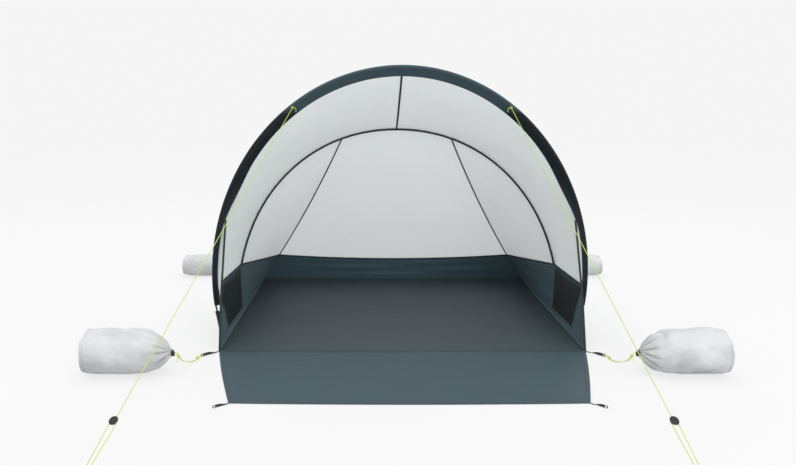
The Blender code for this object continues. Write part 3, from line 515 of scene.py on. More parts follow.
def turned(profile, origin, axis, sides=24):
    """A turned shape: (distance along the axis, radius) pairs spun round the axis."""
    axis = unit(axis)
    reference = np.array([0.0, 0.0, 1.0]) if abs(axis[2]) < 0.9 else np.array([0.0, 1.0, 0.0])
    reference = unit(reference - np.dot(reference, axis) * axis)
    other = np.cross(axis, reference)
    angles = TURN * np.arange(sides) / sides
    circle = np.cos(angles)[:, None] * reference + np.sin(angles)[:, None] * other
    return np.array([np.asarray(origin) + d * axis + r * circle for d, r in profile])


def smooth_route(points, spacing):
    """A smooth curve through a route's points, closer at tight turns."""
    points = np.array(points, dtype=float)
    spans = np.diff(points, axis=0)
    lengths = np.linalg.norm(spans, axis=1)
    slopes = spans / lengths[:, None]
    headings = [slopes[0]]
    for k in range(1, len(spans)):
        share = lengths[k - 1] / (lengths[k - 1] + lengths[k])
        headings.append((1 - share) * slopes[k - 1] + share * slopes[k])
    headings.append(slopes[-1])
    route = []
    for k, length in enumerate(lengths):
        steps = max(2, math.ceil(length / spacing))
        for t in np.linspace(0, 1, steps, endpoint=False):
            ease = t * t * (3 - 2 * t)
            route.append((1 - ease) * points[k] + ease * points[k + 1]
                         + length * t * (1 - t) ** 2 * headings[k]
                         - length * t * t * (1 - t) * headings[k + 1])
    route.append(points[-1])
    return np.array(route)


print("tube, ribbon and turned shapes ready")

# %% [markdown]
# Every cord here ends in a knot or passes through one.  The curve of a trefoil, wound round the
# cord's own line and drawn in, looks like an overhand knot from all sides.

# %% A knot
UP = np.array([0.0, 0.0, 1.0])


def squared(vector, axis):
    return unit(vector - np.dot(vector, axis) * axis)


def local_axes(along, up):
    x = unit(along)
    z = squared(up, x)
    return x, np.cross(z, x), z


def overhand(centre, direction, radius, size):
    """A small knot: a trefoil wound round the cord's line, drawn tight."""
    x, y, z = local_axes(direction, UP if abs(direction[2]) < 0.9 else np.array([0, 1.0, 0]))
    t = np.linspace(0, TURN, 61)[:-1]
    ring = (np.sin(t) + 2 * np.sin(2 * t), np.cos(t) - 2 * np.cos(2 * t), -np.sin(3 * t))
    path = centre + size / 3 * (ring[2][:, None] * 0.9 * x + ring[0][:, None] * 0.6 * y
                                + ring[1][:, None] * 0.6 * z)
    closed = np.concatenate([path, path[:2]])
    return skin(tube(closed, radius, 8))


def loose_tail(knot, sideways, radius):
    """A cut end of cord that leaves a knot sideways and hangs down."""
    route = [knot, knot + 0.007 * sideways + 0.002 * UP, knot + 0.014 * sideways - 0.003 * UP,
             knot + 0.017 * sideways - 0.012 * UP, knot + 0.017 * sideways - 0.022 * UP]
    return skin(tube(smooth_route(route, 0.003), radius, 8))


def along_route(route, length):
    """Place and direction at a length along a route."""
    lengths = running_length(route)
    place = np.array([np.interp(length, lengths, np.asarray(route)[:, k]) for k in range(3)])
    ahead = np.array([np.interp(length + 0.002, lengths, np.asarray(route)[:, k])
                      for k in range(3)])
    return place, unit(ahead - place)


print("knots ready")

# %% [markdown]
# ## The sandbag cords
#
# A doubled cord leaves each bag's stopper, drops to the ground, passes through the webbing
# loop at the floor's corner and comes back.  It is the only slack cord here, so it is made
# first, on the same route as its solid, and its length is printed.

# %% Numbers of the floor corners
FLOOR_HALF_WIDTH = 0.905
FLOOR_HALF_DEPTH = 0.75
SHEET = 0.0025
STRAP_HEIGHT = 0.015
STRAP_THICKNESS = 0.0025
STRAP_REACH = (0.070, 0.075)
STRAP_HOLE_BACK = 0.009
STRAP_ROOT = {"front": 0.0010, "rear": 0.0016}
STRAP_BEARING = 0.0020
REST_GAP = 0.0003
LOCK_RADIUS = 0.0080
LOCK_LENGTH = 0.028


class Bag:
    """Place and size of one sandbag on the right-hand side."""

    def __init__(self, y, height, width, neck_x, far_x, neck_height, outward):
        self.y = y
        self.height = height
        self.width = width
        self.neck_x = neck_x
        self.far_x = far_x
        self.neck_height = neck_height
        self.outward = outward


BAGS = {
    "front": Bag(-1.015, 0.205, 0.225, 1.060, 1.450, 0.090, -1),
    "rear": Bag(0.868, 0.150, 0.220, 1.100, 1.505, 0.060, 1),
}
SIDES = {"left": -1, "right": 1}
print("bags:", list(BAGS))


# %% Route of one sandbag cord
def strap_line(place, sign):
    """Root and tip of a corner strap, and its direction along the ground."""
    outward = BAGS[place].outward
    corner = np.array([FLOOR_HALF_WIDTH, outward * FLOOR_HALF_DEPTH])
    reach = np.array([STRAP_REACH[0], outward * STRAP_REACH[1]])
    root = corner + unit(reach) * STRAP_ROOT[place]
    tip = corner + reach
    flip = np.array([sign, 1.0])
    return root * flip, tip * flip


def cord_route(place, sign):
    bag = BAGS[place]
    root, tip = strap_line(place, sign)
    along = np.array([*unit(tip - root), 0.0])
    over = np.cross(UP, along)
    hole = np.array([*tip, STRAP_HEIGHT / 2]) - along * (STRAP_HOLE_BACK - STRAP_BEARING)
    start_x = bag.neck_x - REST_GAP - 2 * LOCK_RADIUS - REST_GAP
    leave = np.array([sign * start_x, bag.y, bag.neck_height])
    toward = unit([hole[0] - leave[0], hole[1] - leave[1], 0.0])
    sideways = np.cross(toward, UP)
    gap = np.linalg.norm((hole - leave)[:2])
    ground = CORD_RADIUS + 0.0010
    strands = []
    for hand in (1, -1):
        off = hand * 0.0035 * sideways
        upright = hand * 0.0020 * np.array([0.0, 1.0, 0.0])
        strands.append([
            leave + upright,
            leave + upright - np.array([sign * 0.006, 0, 0.0005]),
            leave + off - np.array([sign * 0.018, 0, 0.20 * bag.neck_height]),
            [*(leave + off + toward * gap * 0.34)[:2], ground + 0.022],
            [*(leave + off + toward * gap * 0.62)[:2], ground + 0.0016],
            [*(leave + off * 1.3 + toward * gap * 0.80)[:2], ground],
        ])
    beside = over * (STRAP_THICKNESS / 2 + CORD_RADIUS + 3 * REST_GAP)
    if np.dot(over, sideways) < 0:
        beside = -beside
    past = along * 0.012
    wide = unit(beside) * 0.002
    turn = [hole + past + beside + wide, hole + beside, hole, hole - beside,
            hole + past - beside - wide]
    return smooth_route(strands[0] + turn + strands[1][::-1], 0.004)


# %% Make the four cords
cord_lengths = {}
for place in BAGS:
    for side, sign in SIDES.items():
        route = cord_route(place, sign)
        length = float(running_length(route)[-1])
        name = f"sandbag_cord_{place}_{side}"
        cord = piece(f"{name}_braid", [skin(tube(route, CORD_RADIUS))], lime_cord,
                     [name])
        knots = []
        for back, size in ((0.024, 0.0115), (length / 2 - 0.045, 0.0105)):
            near, heading = along_route(route, back)
            other, _ = along_route(route, length - back)
            knot = mix(near, other, 0.5)
            knot[2] = max(knot[2], 0.7 * size)
            knots.append(overhand(knot, heading, 0.0015, size))
            if knot[2] > 0.03:
                knots += [loose_tail(knot, np.array([0.0, hand, 0.0]), 0.0014) for hand in (1, -1)]
        knotted = piece(f"{name}_knots", knots, lime_cord)
        cord_lengths[name] = round(length, 3)
print("cord lengths", cord_lengths)

# %% [markdown]
# ## The lines of the canopy
#
# Two bent poles carry everything.  Each is a quarter of a superellipse above its widest
# height and tucks in below it.  The seams follow from the poles, and each panel of cloth is
# filled in between four seams.  The same formulas made the solids, here on a finer grid.

# %% Numbers of the poles and seams
SLEEVE_RADIUS = 0.0075
SLEEVE_REACH_TOP = 0.070
SLEEVE_REACH_LOW = 0.024
SLEEVE_WIDE_ABOVE = 0.95
SLEEVE_NARROW_BELOW = 0.55
SLEEVE_BACKWARD = 0.76
REAR_SLEEVE_REACH = 0.016
SLEEVE_END_HEIGHT = 0.135
BAND_TOP_FRONT = 0.250
BAND_TOP_REAR_ARCH = 0.295
WING_TOP = 0.612
HEM_POINT = np.array([0.915, -0.634, 0.235])
CORNER_PEAK = np.array([0.793, 0.680, 0.186])
REAR_BAND_DIP = 0.030
REAR_BAND_BOW = 0.014
PANEL_SEAM_X = 0.330
PANEL_SEAM_BOW = 0.018
RIDGE_SAG = 0.010
ROOF_SAG = 0.014
REAR_SAG = 0.012

ROWS_TO_SEAM = 36
ROWS_TO_WING = 92
ROWS_TO_WALL = 36
ROWS = ROWS_TO_SEAM + ROWS_TO_WING + ROWS_TO_WALL
ROOF_COLUMNS = 44
WING_COLUMNS = 14
REAR_SIDE_COLUMNS = 56
WALL_ROWS = 18
print("rows of the roof", ROWS)


# %% A bent pole
class Arch:
    """The right-hand half of a bent pole's line, from its apex down to its foot."""

    def __init__(self, half_width, height, widest_at, foot_half_width, roundness, foot_y,
                 apex_y):
        power = 2 / roundness
        angle = np.linspace(math.pi / 2, 0, 240)
        drop = np.linspace(0, 1, 32)[1:]
        x = np.concatenate([half_width * np.abs(np.cos(angle)) ** power,
                            half_width + (foot_half_width - half_width) * drop ** 2])
        z = np.concatenate([widest_at + (height - widest_at) * np.sin(angle) ** power,
                            widest_at * (1 - drop)])
        x[0] = 0.0
        y = foot_y + (apex_y - foot_y) * z / height
        self.points = np.stack([x, y, z], axis=1)
        self.lengths = running_length(self.points)
        self.plane = unit((0.0, height, foot_y - apex_y))

    def at(self, length):
        return np.array([np.interp(length, self.lengths, self.points[:, k]) for k in range(3)])

    def length_at_height(self, z):
        return float(np.interp(-z, -self.points[:, 2], self.lengths))

    def length_at_width(self, x):
        return float(np.interp(x, self.points[:240, 0], self.lengths[:240]))

    def along(self, length, step=0.01):
        if length < step:
            return np.array([1.0, 0.0, 0.0])
        return unit(self.at(length + step) - self.at(length - step))

    def outward(self, length):
        return unit(np.cross(self.along(length), self.plane))


front_arch = Arch(0.998, 1.387, 0.248, 0.972, 2.00, -0.389, -0.485)
rear_arch = Arch(0.916, 1.064, 0.15, 0.924, 2.08, -0.230, 0.200)
print("pole lengths", [round(2 * a.lengths[-1], 3) for a in (front_arch, rear_arch)])


# %% Where the sleeves meet the canopy
def smooth_step(value, low, high):
    share = np.clip((value - low) / (high - low), 0.0, 1.0)
    return share * share * (3 - 2 * share)


class Station:
    """One cross-section of a pole: the pole, the seam its sleeve reaches to, and directions."""

    def __init__(self, pole, seam, along, outward):
        self.pole = pole
        self.seam = seam
        self.toward = squared(seam - pole, along)
        self.side = unit(np.cross(self.toward, along))
        self.reach = float(np.dot(seam - pole, self.toward))
        self.inward = -outward
        self.flat = unit(np.cross(self.inward, along))


def front_station(length, row_target):
    pole = front_arch.at(length)
    along = front_arch.along(length)
    backward = squared(row_target - pole, along)
    inward = -front_arch.outward(length)
    top = smooth_step(pole[2], SLEEVE_NARROW_BELOW, SLEEVE_WIDE_ABOVE)
    toward = squared(mix(inward, backward, SLEEVE_BACKWARD * top), along)
    if length == 0:
        toward[0] = 0.0
        toward = unit(toward)
    reach = SLEEVE_REACH_LOW + (SLEEVE_REACH_TOP - SLEEVE_REACH_LOW) * top
    return Station(pole, pole + reach * toward, along, front_arch.outward(length))


def rear_station(length):
    seam = rear_arch.at(length)
    outward = rear_arch.outward(length)
    return Station(seam + REAR_SLEEVE_REACH * outward, seam, rear_arch.along(length), outward)


front_end = front_arch.length_at_height(BAND_TOP_FRONT)
rear_end = rear_arch.length_at_height(BAND_TOP_REAR_ARCH)
seam_share = rear_arch.length_at_width(PANEL_SEAM_X) / rear_end
wing_share = front_arch.length_at_height(WING_TOP) / front_end
shares = np.concatenate([
    np.linspace(0, seam_share, ROWS_TO_SEAM + 1),
    np.linspace(seam_share, wing_share, ROWS_TO_WING + 1)[1:],
    np.linspace(wing_share, 1, ROWS_TO_WALL + 1)[1:],
])
front_stations = [front_station(s * front_end, rear_arch.at(s * rear_end)) for s in shares]
rear_stations = [rear_station(s * rear_end) for s in shares]
LOW_ROWS = 16
for length in np.linspace(front_end, front_arch.length_at_height(SLEEVE_END_HEIGHT),
                          LOW_ROWS + 1)[1:]:
    front_stations.append(front_station(length, front_arch.at(length) + np.array([0, 1.0, 0])))
for length in np.linspace(rear_end, rear_arch.length_at_height(SLEEVE_END_HEIGHT),
                          LOW_ROWS + 1)[1:]:
    rear_stations.append(rear_station(length))
print("stations", len(front_stations), len(rear_stations))

# %% [markdown]
# Cloth between four seams is a Coons patch: the average of the two ways of sliding one seam
# to its opposite, less the flat patch through the corners.  It sags in its middle and keeps
# to the seams at its edges.


# %% Cloth between four seams
def sampled(edge, places):
    """Points at shares of an edge's count of steps."""
    steps = np.asarray(places) * (len(edge) - 1)
    known = np.arange(len(edge))
    return np.stack([np.interp(steps, known, edge[:, k]) for k in range(3)], axis=1)


def straight(start, end, steps):
    return mix(np.asarray(start, dtype=float)[None], np.asarray(end, dtype=float)[None],
               np.linspace(0, 1, steps + 1)[:, None])


def coons(top, bottom, left, right, columns, rows):
    u = np.linspace(0, 1, columns + 1)
    v = np.linspace(0, 1, rows + 1)
    up, low = sampled(top, u)[None], sampled(bottom, u)[None]
    first, last = sampled(left, v)[:, None], sampled(right, v)[:, None]
    u = u[None, :, None]
    v = v[:, None, None]
    flat = ((1 - u) * (1 - v) * top[0] + u * (1 - v) * top[-1]
            + (1 - u) * v * bottom[0] + u * v * bottom[-1])
    return (1 - v) * up + v * low + (1 - u) * first + u * last - flat


def grid_normals(grid, outward):
    normals = np.cross(np.gradient(grid, axis=0), np.gradient(grid, axis=1))
    small = np.linalg.norm(normals, axis=2) < 1e-12
    normals[small] = np.asarray(outward, dtype=float)
    normals = unit(normals)
    middle = normals[grid.shape[0] // 2, grid.shape[1] // 2]
    return normals if np.dot(middle, outward) > 0 else -normals


def hung(grid, outward, sag):
    """Sags a patch inward; its edges stay on the seams."""
    down = np.linspace(0, 1, grid.shape[0])[:, None, None]
    over = np.linspace(0, 1, grid.shape[1])[None, :, None]
    depth = sag * 16 * down * (1 - down) * over * (1 - over)
    return grid - grid_normals(grid, outward) * depth


# %% Lay out the seams
front_seam = np.array([s.seam for s in front_stations[:ROWS + 1]])
rear_seam = np.array([s.seam for s in rear_stations[:ROWS + 1]])
wing_row = ROWS_TO_SEAM + ROWS_TO_WING
share = np.linspace(0, 1, ROOF_COLUMNS + 1)
ridge = straight(front_seam[0], rear_seam[0], ROOF_COLUMNS)
ridge[:, 2] -= RIDGE_SAG * 4 * share * (1 - share)
front_corner = np.array([FLOOR_HALF_WIDTH, -FLOOR_HALF_DEPTH, 0.0])
rear_corner = np.array([FLOOR_HALF_WIDTH, FLOOR_HALF_DEPTH, 0.0])
hem = straight(front_seam[wing_row], HEM_POINT, ROWS_TO_WALL)
low_hem = straight(HEM_POINT, front_corner, WALL_ROWS)
wing_foot = straight(HEM_POINT, front_seam[ROWS], WING_COLUMNS)
roof_foot = straight(front_seam[ROWS], rear_seam[ROWS], ROOF_COLUMNS)
rear_side_foot = straight(rear_seam[ROWS], CORNER_PEAK, REAR_SIDE_COLUMNS)
corner_seam = straight(CORNER_PEAK, rear_corner, WALL_ROWS)
panel_seam = straight(rear_seam[ROWS_TO_SEAM], CORNER_PEAK, ROWS - ROWS_TO_SEAM)
down = np.linspace(0, 1, ROWS - ROWS_TO_SEAM + 1)
panel_seam[:, 0] -= PANEL_SEAM_BOW * 4 * down * (1 - down)
wall_top = np.concatenate([wing_foot, roof_foot[1:], rear_side_foot[1:]])
front_mark = np.array([FLOOR_HALF_WIDTH, front_seam[ROWS][1], 0.0])
rear_mark = np.array([FLOOR_HALF_WIDTH, rear_seam[ROWS][1], 0.0])
floor_edge = np.concatenate([straight(front_corner, front_mark, WING_COLUMNS),
                             straight(front_mark, rear_mark, ROOF_COLUMNS)[1:],
                             straight(rear_mark, rear_corner, REAR_SIDE_COLUMNS)[1:]])
columns = 2 * ROWS_TO_SEAM
share = np.linspace(0, 1, columns + 1)
rear_top = straight(mirrored(CORNER_PEAK), CORNER_PEAK, columns)
rear_top[:, 2] -= REAR_BAND_DIP * 4 * share * (1 - share)
rear_top[:, 1] += REAR_BAND_BOW * 4 * share * (1 - share)
rear_floor = straight(mirrored(rear_corner), rear_corner, columns)
rear_crown = np.concatenate([mirrored(rear_seam[:ROWS_TO_SEAM + 1][::-1]),
                             rear_seam[1:ROWS_TO_SEAM + 1]])
print("seams laid out; ridge", round(float(running_length(ridge)[-1]), 3), "m long")

# %% [markdown]
# ## Wrinkles
#
# Taut cloth is never quite smooth.  It puckers in short waves beside every seam, because the
# thread draws it in, and it carries a few long soft folds.  Both are moves along the normal
# that fade to nothing at the seams, so that neighbouring panels still meet.


# %% Puckers and long folds
def steps_from(grid, axis):
    """Distance in metres of every grid point from the first line of an axis."""
    gaps = np.linalg.norm(np.diff(grid, axis=axis), axis=2)
    pad = [(0, 0), (0, 0)]
    pad[axis] = (1, 0)
    return np.cumsum(np.pad(gaps, pad), axis=axis)


def wrinkled(grid, outward, pucker, fold, phase):
    across = steps_from(grid, 1)
    downward = steps_from(grid, 0)
    far_side = across.max(1, keepdims=True) - across
    far_end = downward.max(0, keepdims=True) - downward
    move = np.zeros(grid.shape[:2])
    for distance, running in ((across, downward), (far_side, downward), (downward, across),
                              (far_end, across)):
        near = np.maximum(distance, 0.0) / 0.016
        ripple = (np.sin(running * TURN / 0.058 + phase) + 0.6 * np.sin(running * TURN / 0.091
                                                                        + 2.1 * phase))
        slow = 0.6 + 0.4 * np.sin(running * 5.3 + phase)
        move += pucker * ripple * slow * near * np.exp(1 - near)
    nearest_edge = np.minimum(np.minimum(across, far_side), np.minimum(downward, far_end))
    move *= np.clip(nearest_edge / 0.010, 0.0, 1.0)
    u = across / np.maximum(across.max(1, keepdims=True), 1e-6)
    v = downward / np.maximum(downward.max(0, keepdims=True), 1e-6)
    fade = (16 * u * (1 - u) * v * (1 - v)) ** 0.75
    long_fold = np.sin(TURN * (1.3 * u + 2.2 * v) + phase) + 0.7 * np.sin(
        TURN * (3.1 * v - 0.8 * u) + 1.7 * phase) + 0.5 * np.sin(TURN * (2.6 * u - 1.1 * v) + phase)
    move += fold * long_fold * fade
    return grid + grid_normals(grid, outward) * move[..., None]


def patch(grid):
    """Points, faces and UVs of one grid of cloth."""
    rows, width = grid.shape[:2]
    u = steps_from(grid, 1)
    v = steps_from(grid, 0)
    faces = []
    uvs = []
    for j in range(rows - 1):
        for i in range(width - 1):
            a = j * width + i
            faces.append((a, a + 1, a + width + 1, a + width))
            uvs += [(u[j, i], v[j, i]), (u[j, i + 1], v[j, i + 1]),
                    (u[j + 1, i + 1], v[j + 1, i + 1]), (u[j + 1, i], v[j + 1, i])]
    return grid.reshape(-1, 3), faces, uvs


def both_sides(grid):
    """A right-hand grid and its mirror image."""
    return [grid, mirrored(grid)[:, ::-1]]


def cloth(name, grids, paint, nodes, thickness=0.0008):
    """A sewn sheet from grids that share their seams, with a thin wall."""
    made = piece(name, [patch(grid) for grid in grids], paint, nodes)
    wall = made.modifiers.new("thickness", "SOLIDIFY")
    wall.thickness = thickness
    wall.offset = 0.0
    return made


def sheet_area(made):
    return sum(face.area for face in made.data.polygons)


# %% Build the roof
RIGHTWARD = np.array([1.0, 0.0, 0.2])
BACKWARD = np.array([0.5, 1.0, 0.3])
STRAIGHT_BACK = np.array([0.0, 1.0, 0.3])

roof_grid = hung(coons(ridge, roof_foot, front_seam, rear_seam, ROOF_COLUMNS, ROWS),
                 RIGHTWARD, ROOF_SAG)
wing_tip = np.repeat(hem[:1], 2, axis=0)
wing_grid = coons(wing_tip, wing_foot, hem, front_seam[wing_row:], WING_COLUMNS, ROWS_TO_WALL)
roof_folded = wrinkled(roof_grid, RIGHTWARD, 0.0010, 0.0018, 0.7)
left_folded = wrinkled(roof_grid, RIGHTWARD, 0.0010, 0.0016, 2.9)
wing_folded = wrinkled(wing_grid, RIGHTWARD, 0.0005, 0.0010, 1.3)
canopy_roof = cloth("canopy_roof", [roof_folded, mirrored(left_folded)[:, ::-1],
                                    *both_sides(wing_folded)], canopy_cloth,
                    ["roof_panel_left", "roof_panel_right", "side_wing_left", "side_wing_right"])
roof_width = 2 * float(running_length(front_seam)[-1])
roof_depth = float(running_length(roof_foot)[-1] + running_length(wing_foot)[-1])
roof_area = sheet_area(canopy_roof)
print("roof cut", round(roof_width, 3), "by", round(roof_depth, 3), "area", round(roof_area, 3))

# %% Build the rear of the canopy
side_tip = np.repeat(panel_seam[:1], 2, axis=0)
rear_side_grid = hung(coons(side_tip, rear_side_foot, rear_seam[ROWS_TO_SEAM:], panel_seam,
                            REAR_SIDE_COLUMNS, ROWS - ROWS_TO_SEAM), BACKWARD, REAR_SAG)
rear_grid = hung(coons(rear_crown, rear_top, mirrored(panel_seam), panel_seam, columns,
                       ROWS - ROWS_TO_SEAM), STRAIGHT_BACK, REAR_SAG)
rear_side_folded = wrinkled(rear_side_grid, BACKWARD, 0.0009, 0.0016, 4.1)
rear_left_folded = wrinkled(rear_side_grid, BACKWARD, 0.0009, 0.0016, 0.4)
rear_folded = wrinkled(rear_grid, STRAIGHT_BACK, 0.0009, 0.0020, 5.2)
canopy_rear = cloth("canopy_rear", [rear_folded, rear_side_folded,
                                    mirrored(rear_left_folded)[:, ::-1]], canopy_cloth,
                    ["rear_panel", "rear_side_panel_left",
                                     "rear_side_panel_right"])
rear_width = 2 * float(running_length(rear_side_foot)[-1]) + float(running_length(rear_top)[-1])
rear_depth = float(running_length(rear_grid[:, columns // 2])[-1])
rear_area = sheet_area(canopy_rear)
print("rear cut", round(rear_width, 3), "by", round(rear_depth, 3), "area", round(rear_area, 3))

# %% [markdown]
# ## The groundsheet
#
# The floor, its turned-up walls and the flap in front are one coated sheet in three pieces.
# Walls hang from the canopy's lower seam.  Floor and flap lie on the ground, where wrinkles
# can only rise, so their moves are taken as heights above it.

# %% Build the walls
wall_grid = coons(wall_top, floor_edge, low_hem, corner_seam, len(wall_top) - 1, WALL_ROWS)
rear_wall_grid = coons(rear_top, rear_floor, mirrored(corner_seam), corner_seam, columns,
                       WALL_ROWS)
wall_folded = wrinkled(wall_grid, RIGHTWARD, 0.0007, 0.0022, 3.3)
left_wall_folded = wrinkled(wall_grid, RIGHTWARD, 0.0007, 0.0022, 1.1)
rear_wall_folded = wrinkled(rear_wall_grid, STRAIGHT_BACK, 0.0007, 0.0020, 2.4)
tub_walls = cloth("tub_walls", [wall_folded, mirrored(left_wall_folded)[:, ::-1],
                                rear_wall_folded], wall_cloth,
                  ["side_wall_left", "side_wall_right", "rear_wall"], thickness=0.0010)
tub_width = 2 * float(running_length(wall_top)[-1]) + float(running_length(rear_top)[-1])
tub_depth = float(np.linalg.norm(front_seam[ROWS] - front_mark))
tub_area = sheet_area(tub_walls)
print("walls cut", round(tub_width, 3), "by", round(tub_depth, 3), "area", round(tub_area, 3))


# %% Build the floor and the flap
FLAP_LENGTH = 0.610
FLAP_FRONT_HALF_WIDTH = 0.734
FLAP_BOW = 0.012


def lying(name, rows, row_half, row_y, across_steps, paint, nodes, height, phase):
    """A sheet on the ground: rows of points with a half width each, and low wrinkles."""
    share = np.linspace(-1, 1, across_steps + 1)[None, :]
    v = np.linspace(0, 1, rows + 1)[:, None]
    x = row_half(v) * share
    y = row_y(v, share)
    waves = (np.sin(7.1 * x + 3.0 * y + phase) + np.sin(11.0 * y - 4.0 * x + 2 * phase)
             + 0.7 * np.sin(19.0 * x - 13.0 * y + phase))
    fine = np.sin(31.0 * x + 23.0 * y + phase) * np.sin(27.0 * y - 9.0 * x)
    fade = np.clip((1 - share ** 2) * 6, 0, 1) * np.clip(v * (1 - v) * 16, 0, 1)
    z = 0.0013 + height * fade * np.maximum(waves * 0.35 + fine * 0.15 + 0.25, 0.0)
    return cloth(name, [np.stack([x, y, z], axis=2)], paint, nodes,
                 thickness=0.0010)


lean = (FLOOR_HALF_WIDTH - CORNER_PEAK[0]) / CORNER_PEAK[2]
inset = SHEET * (0.5 + lean) + REST_GAP
floor_half = FLOOR_HALF_WIDTH - inset
floor_rear = FLOOR_HALF_DEPTH - inset
floor_sheet = lying("floor_sheet", 90, lambda v: floor_half + 0 * v,
                    lambda v, s: floor_rear + (-FLOOR_HALF_DEPTH - floor_rear) * v + 0 * s, 108,
                    floor_cloth, ["groundsheet_floor"], 0.0022, 0.3)
flap_rear = -FLOOR_HALF_DEPTH - REST_GAP
flap_wide = FLOOR_HALF_WIDTH - SHEET / 2


def flap_half(v):
    """The flap narrows in a slight curve."""
    return flap_wide + (FLAP_FRONT_HALF_WIDTH - flap_wide) * v + 0.006 * 4 * v * (1 - v)


def flap_y(v, s):
    return flap_rear - v * (FLAP_LENGTH - REST_GAP + FLAP_BOW * (1 - s * s))


flap_sheet = lying("flap_sheet", 44, flap_half, flap_y, 96, ground_cloth, ["front_flap"],
                   0.0030, 1.9)
print("floor", round(sheet_area(floor_sheet), 3), "m2, flap", round(sheet_area(flap_sheet), 3))

# %% [markdown]
# ## Netting pockets
#
# On each side wall a pocket of black netting is sewn along its foot and ends and stands open
# at the top, where an elastic edge holds it a hand's breadth off the wall.

# %% Build the netting pockets
NET_BULGE = 0.035
NET_LOW = 0.16
NET_HIGH = 0.95
NET_END = 0.25
NET_CLEARANCE = 0.0016
NET_SHEET = 0.0018
CAD_COLUMN_SHARE = 4
NET_FIRST = 3
NET_BEND = 0.2
net_columns = WING_COLUMNS + ROOF_COLUMNS
places = np.concatenate([
    np.linspace((NET_FIRST + NET_END) * WING_COLUMNS / CAD_COLUMN_SHARE, WING_COLUMNS, 9),
    np.linspace(WING_COLUMNS, net_columns - NET_END * ROOF_COLUMNS / CAD_COLUMN_SHARE, 49)[1:],
])
NET_ROWS = 20
levels = np.linspace(1 - NET_HIGH, 1 - NET_LOW, NET_ROWS + 1)
net_wall = np.array([[[np.interp(p, np.arange(wall_grid.shape[1]), wall_row[:, k])
                       for k in range(3)] for p in places]
                     for wall_row in [mix(wall_grid[int(v * WALL_ROWS)],
                                          wall_grid[min(int(v * WALL_ROWS) + 1, WALL_ROWS)],
                                          v * WALL_ROWS - int(v * WALL_ROWS)) for v in levels]])
net_normals = grid_normals(net_wall, RIGHTWARD)
u = np.concatenate([np.linspace(0, NET_BEND, 9), np.linspace(NET_BEND, 1, 49)[1:]])[None, :]
v = np.linspace(0, 1, NET_ROWS + 1)[:, None]
bulge = NET_BULGE * np.sin(np.pi * u) * (1 - v ** 2)
slack = 0.004 * np.sin(np.pi * u) * (1 - v) * np.sin(u * 21.0)
away = SHEET / 2 + NET_SHEET / 2 + NET_CLEARANCE + bulge + slack
net_grid = net_wall - net_normals * away[..., None]
net_pockets = {}
for side, grid in zip(("right", "left"), both_sides(net_grid)):
    net_pockets[side] = cloth(f"net_sheet_{side}", [grid], netting,
                              [f"net_pocket_{side}"], thickness=0.0005)
net_width = float(running_length(net_grid[0])[-1])
net_depth = float(running_length(net_grid[:, 20])[-1])
net_area = sheet_area(net_pockets["right"])
print("net cut", round(net_width, 3), "by", round(net_depth, 3), "area", round(net_area, 3))

# %% [markdown]
# ## Seam tapes
#
# Every seam is bound with a narrow tape, which draws the dark lines in the photograph: the
# ridge, the rear arch, the two seams of the rear, the hem of each wing and the top of the
# wall.  A tape is a flat ribbon that follows the seam and lies in the plane of the cloth.
# Along the rear arch the seam's edges stand inward, so that ribbon lies in the arch's plane, and
# the hem of a wing is folded inward and faces the doorway.


# %% Tapes along the seams
def normals_along(grid, outward, row=None, column=None):
    normals = grid_normals(grid, outward)
    return normals[row] if row is not None else normals[:, column]


TAPE = 0.0020
FIN_DROP = 0.0048
FRONTWARD = unit((0.0, -1.0, 0.15))
hem_line = np.concatenate([hem, low_hem[1:]])
hem_line[:, 0] -= 0.0035
hem_normals = np.repeat(FRONTWARD[None], len(hem_line), axis=0)
top_normals = normals_along(wall_grid, RIGHTWARD, row=0)
arch_fin = rear_seam + FIN_DROP * np.array([s.inward for s in rear_stations[:ROWS + 1]])
arch_normals = np.repeat(rear_arch.plane[None], len(arch_fin), axis=0)
seam_normals = normals_along(rear_grid, STRAIGHT_BACK, column=-1)
seam_normals[:2] = seam_normals[2]
seam_line = panel_seam - np.array([0.0030, 0.0010, 0.0])
corner_normals = unit(normals_along(wall_grid, RIGHTWARD, column=-1) + STRAIGHT_BACK)
net_edge = np.concatenate([net_grid[0], net_grid[1:, -1], net_grid[-1, ::-1][1:]])
net_out = grid_normals(net_grid, RIGHTWARD)
net_edge_normals = np.concatenate([net_out[0], net_out[1:, -1], net_out[-1, ::-1][1:]])

dark_tapes = [
    (ridge - UP * 0.0010, np.repeat(UP[None], len(ridge), axis=0), 0.011, False),
    (arch_fin, arch_normals, 0.012, True),
    (hem_line, hem_normals, 0.011, True),
    (wall_top, top_normals, 0.012, True),
    (corner_seam, corner_normals, 0.010, True),
    (rear_top, np.repeat(unit(STRAIGHT_BACK)[None], len(rear_top), axis=0), 0.012, False),
    (net_edge, net_edge_normals, 0.009, True),
]
tape_parts = []
for line, normals, width, doubled in dark_tapes:
    tape_parts.append(skin(ribbon(line, normals, width, TAPE)))
    if doubled:
        tape_parts.append(skin(ribbon(mirrored(line), mirrored(normals), width, TAPE)))
seam_tapes = piece("seam_tapes", tape_parts, seam_tape)
fine_parts = [skin(ribbon(line, normals, 0.0095, TAPE)) for line, normals in (
    (seam_line, seam_normals), (mirrored(seam_line), mirrored(seam_normals)))]
fine_tapes = piece("rear_seam_tapes", fine_parts, fine_seam_tape)
print("tapes", len(tape_parts) + len(fine_parts))

# %% [markdown]
# The flap and the floor have folded hems.  A hem is a second layer of the same cloth, so it
# is a wide flat ribbon of ground cloth that lies on the edge.


# %% Hems on the ground
def on_ground(points, height):
    return np.array([[x, y, height] for x, y in points])


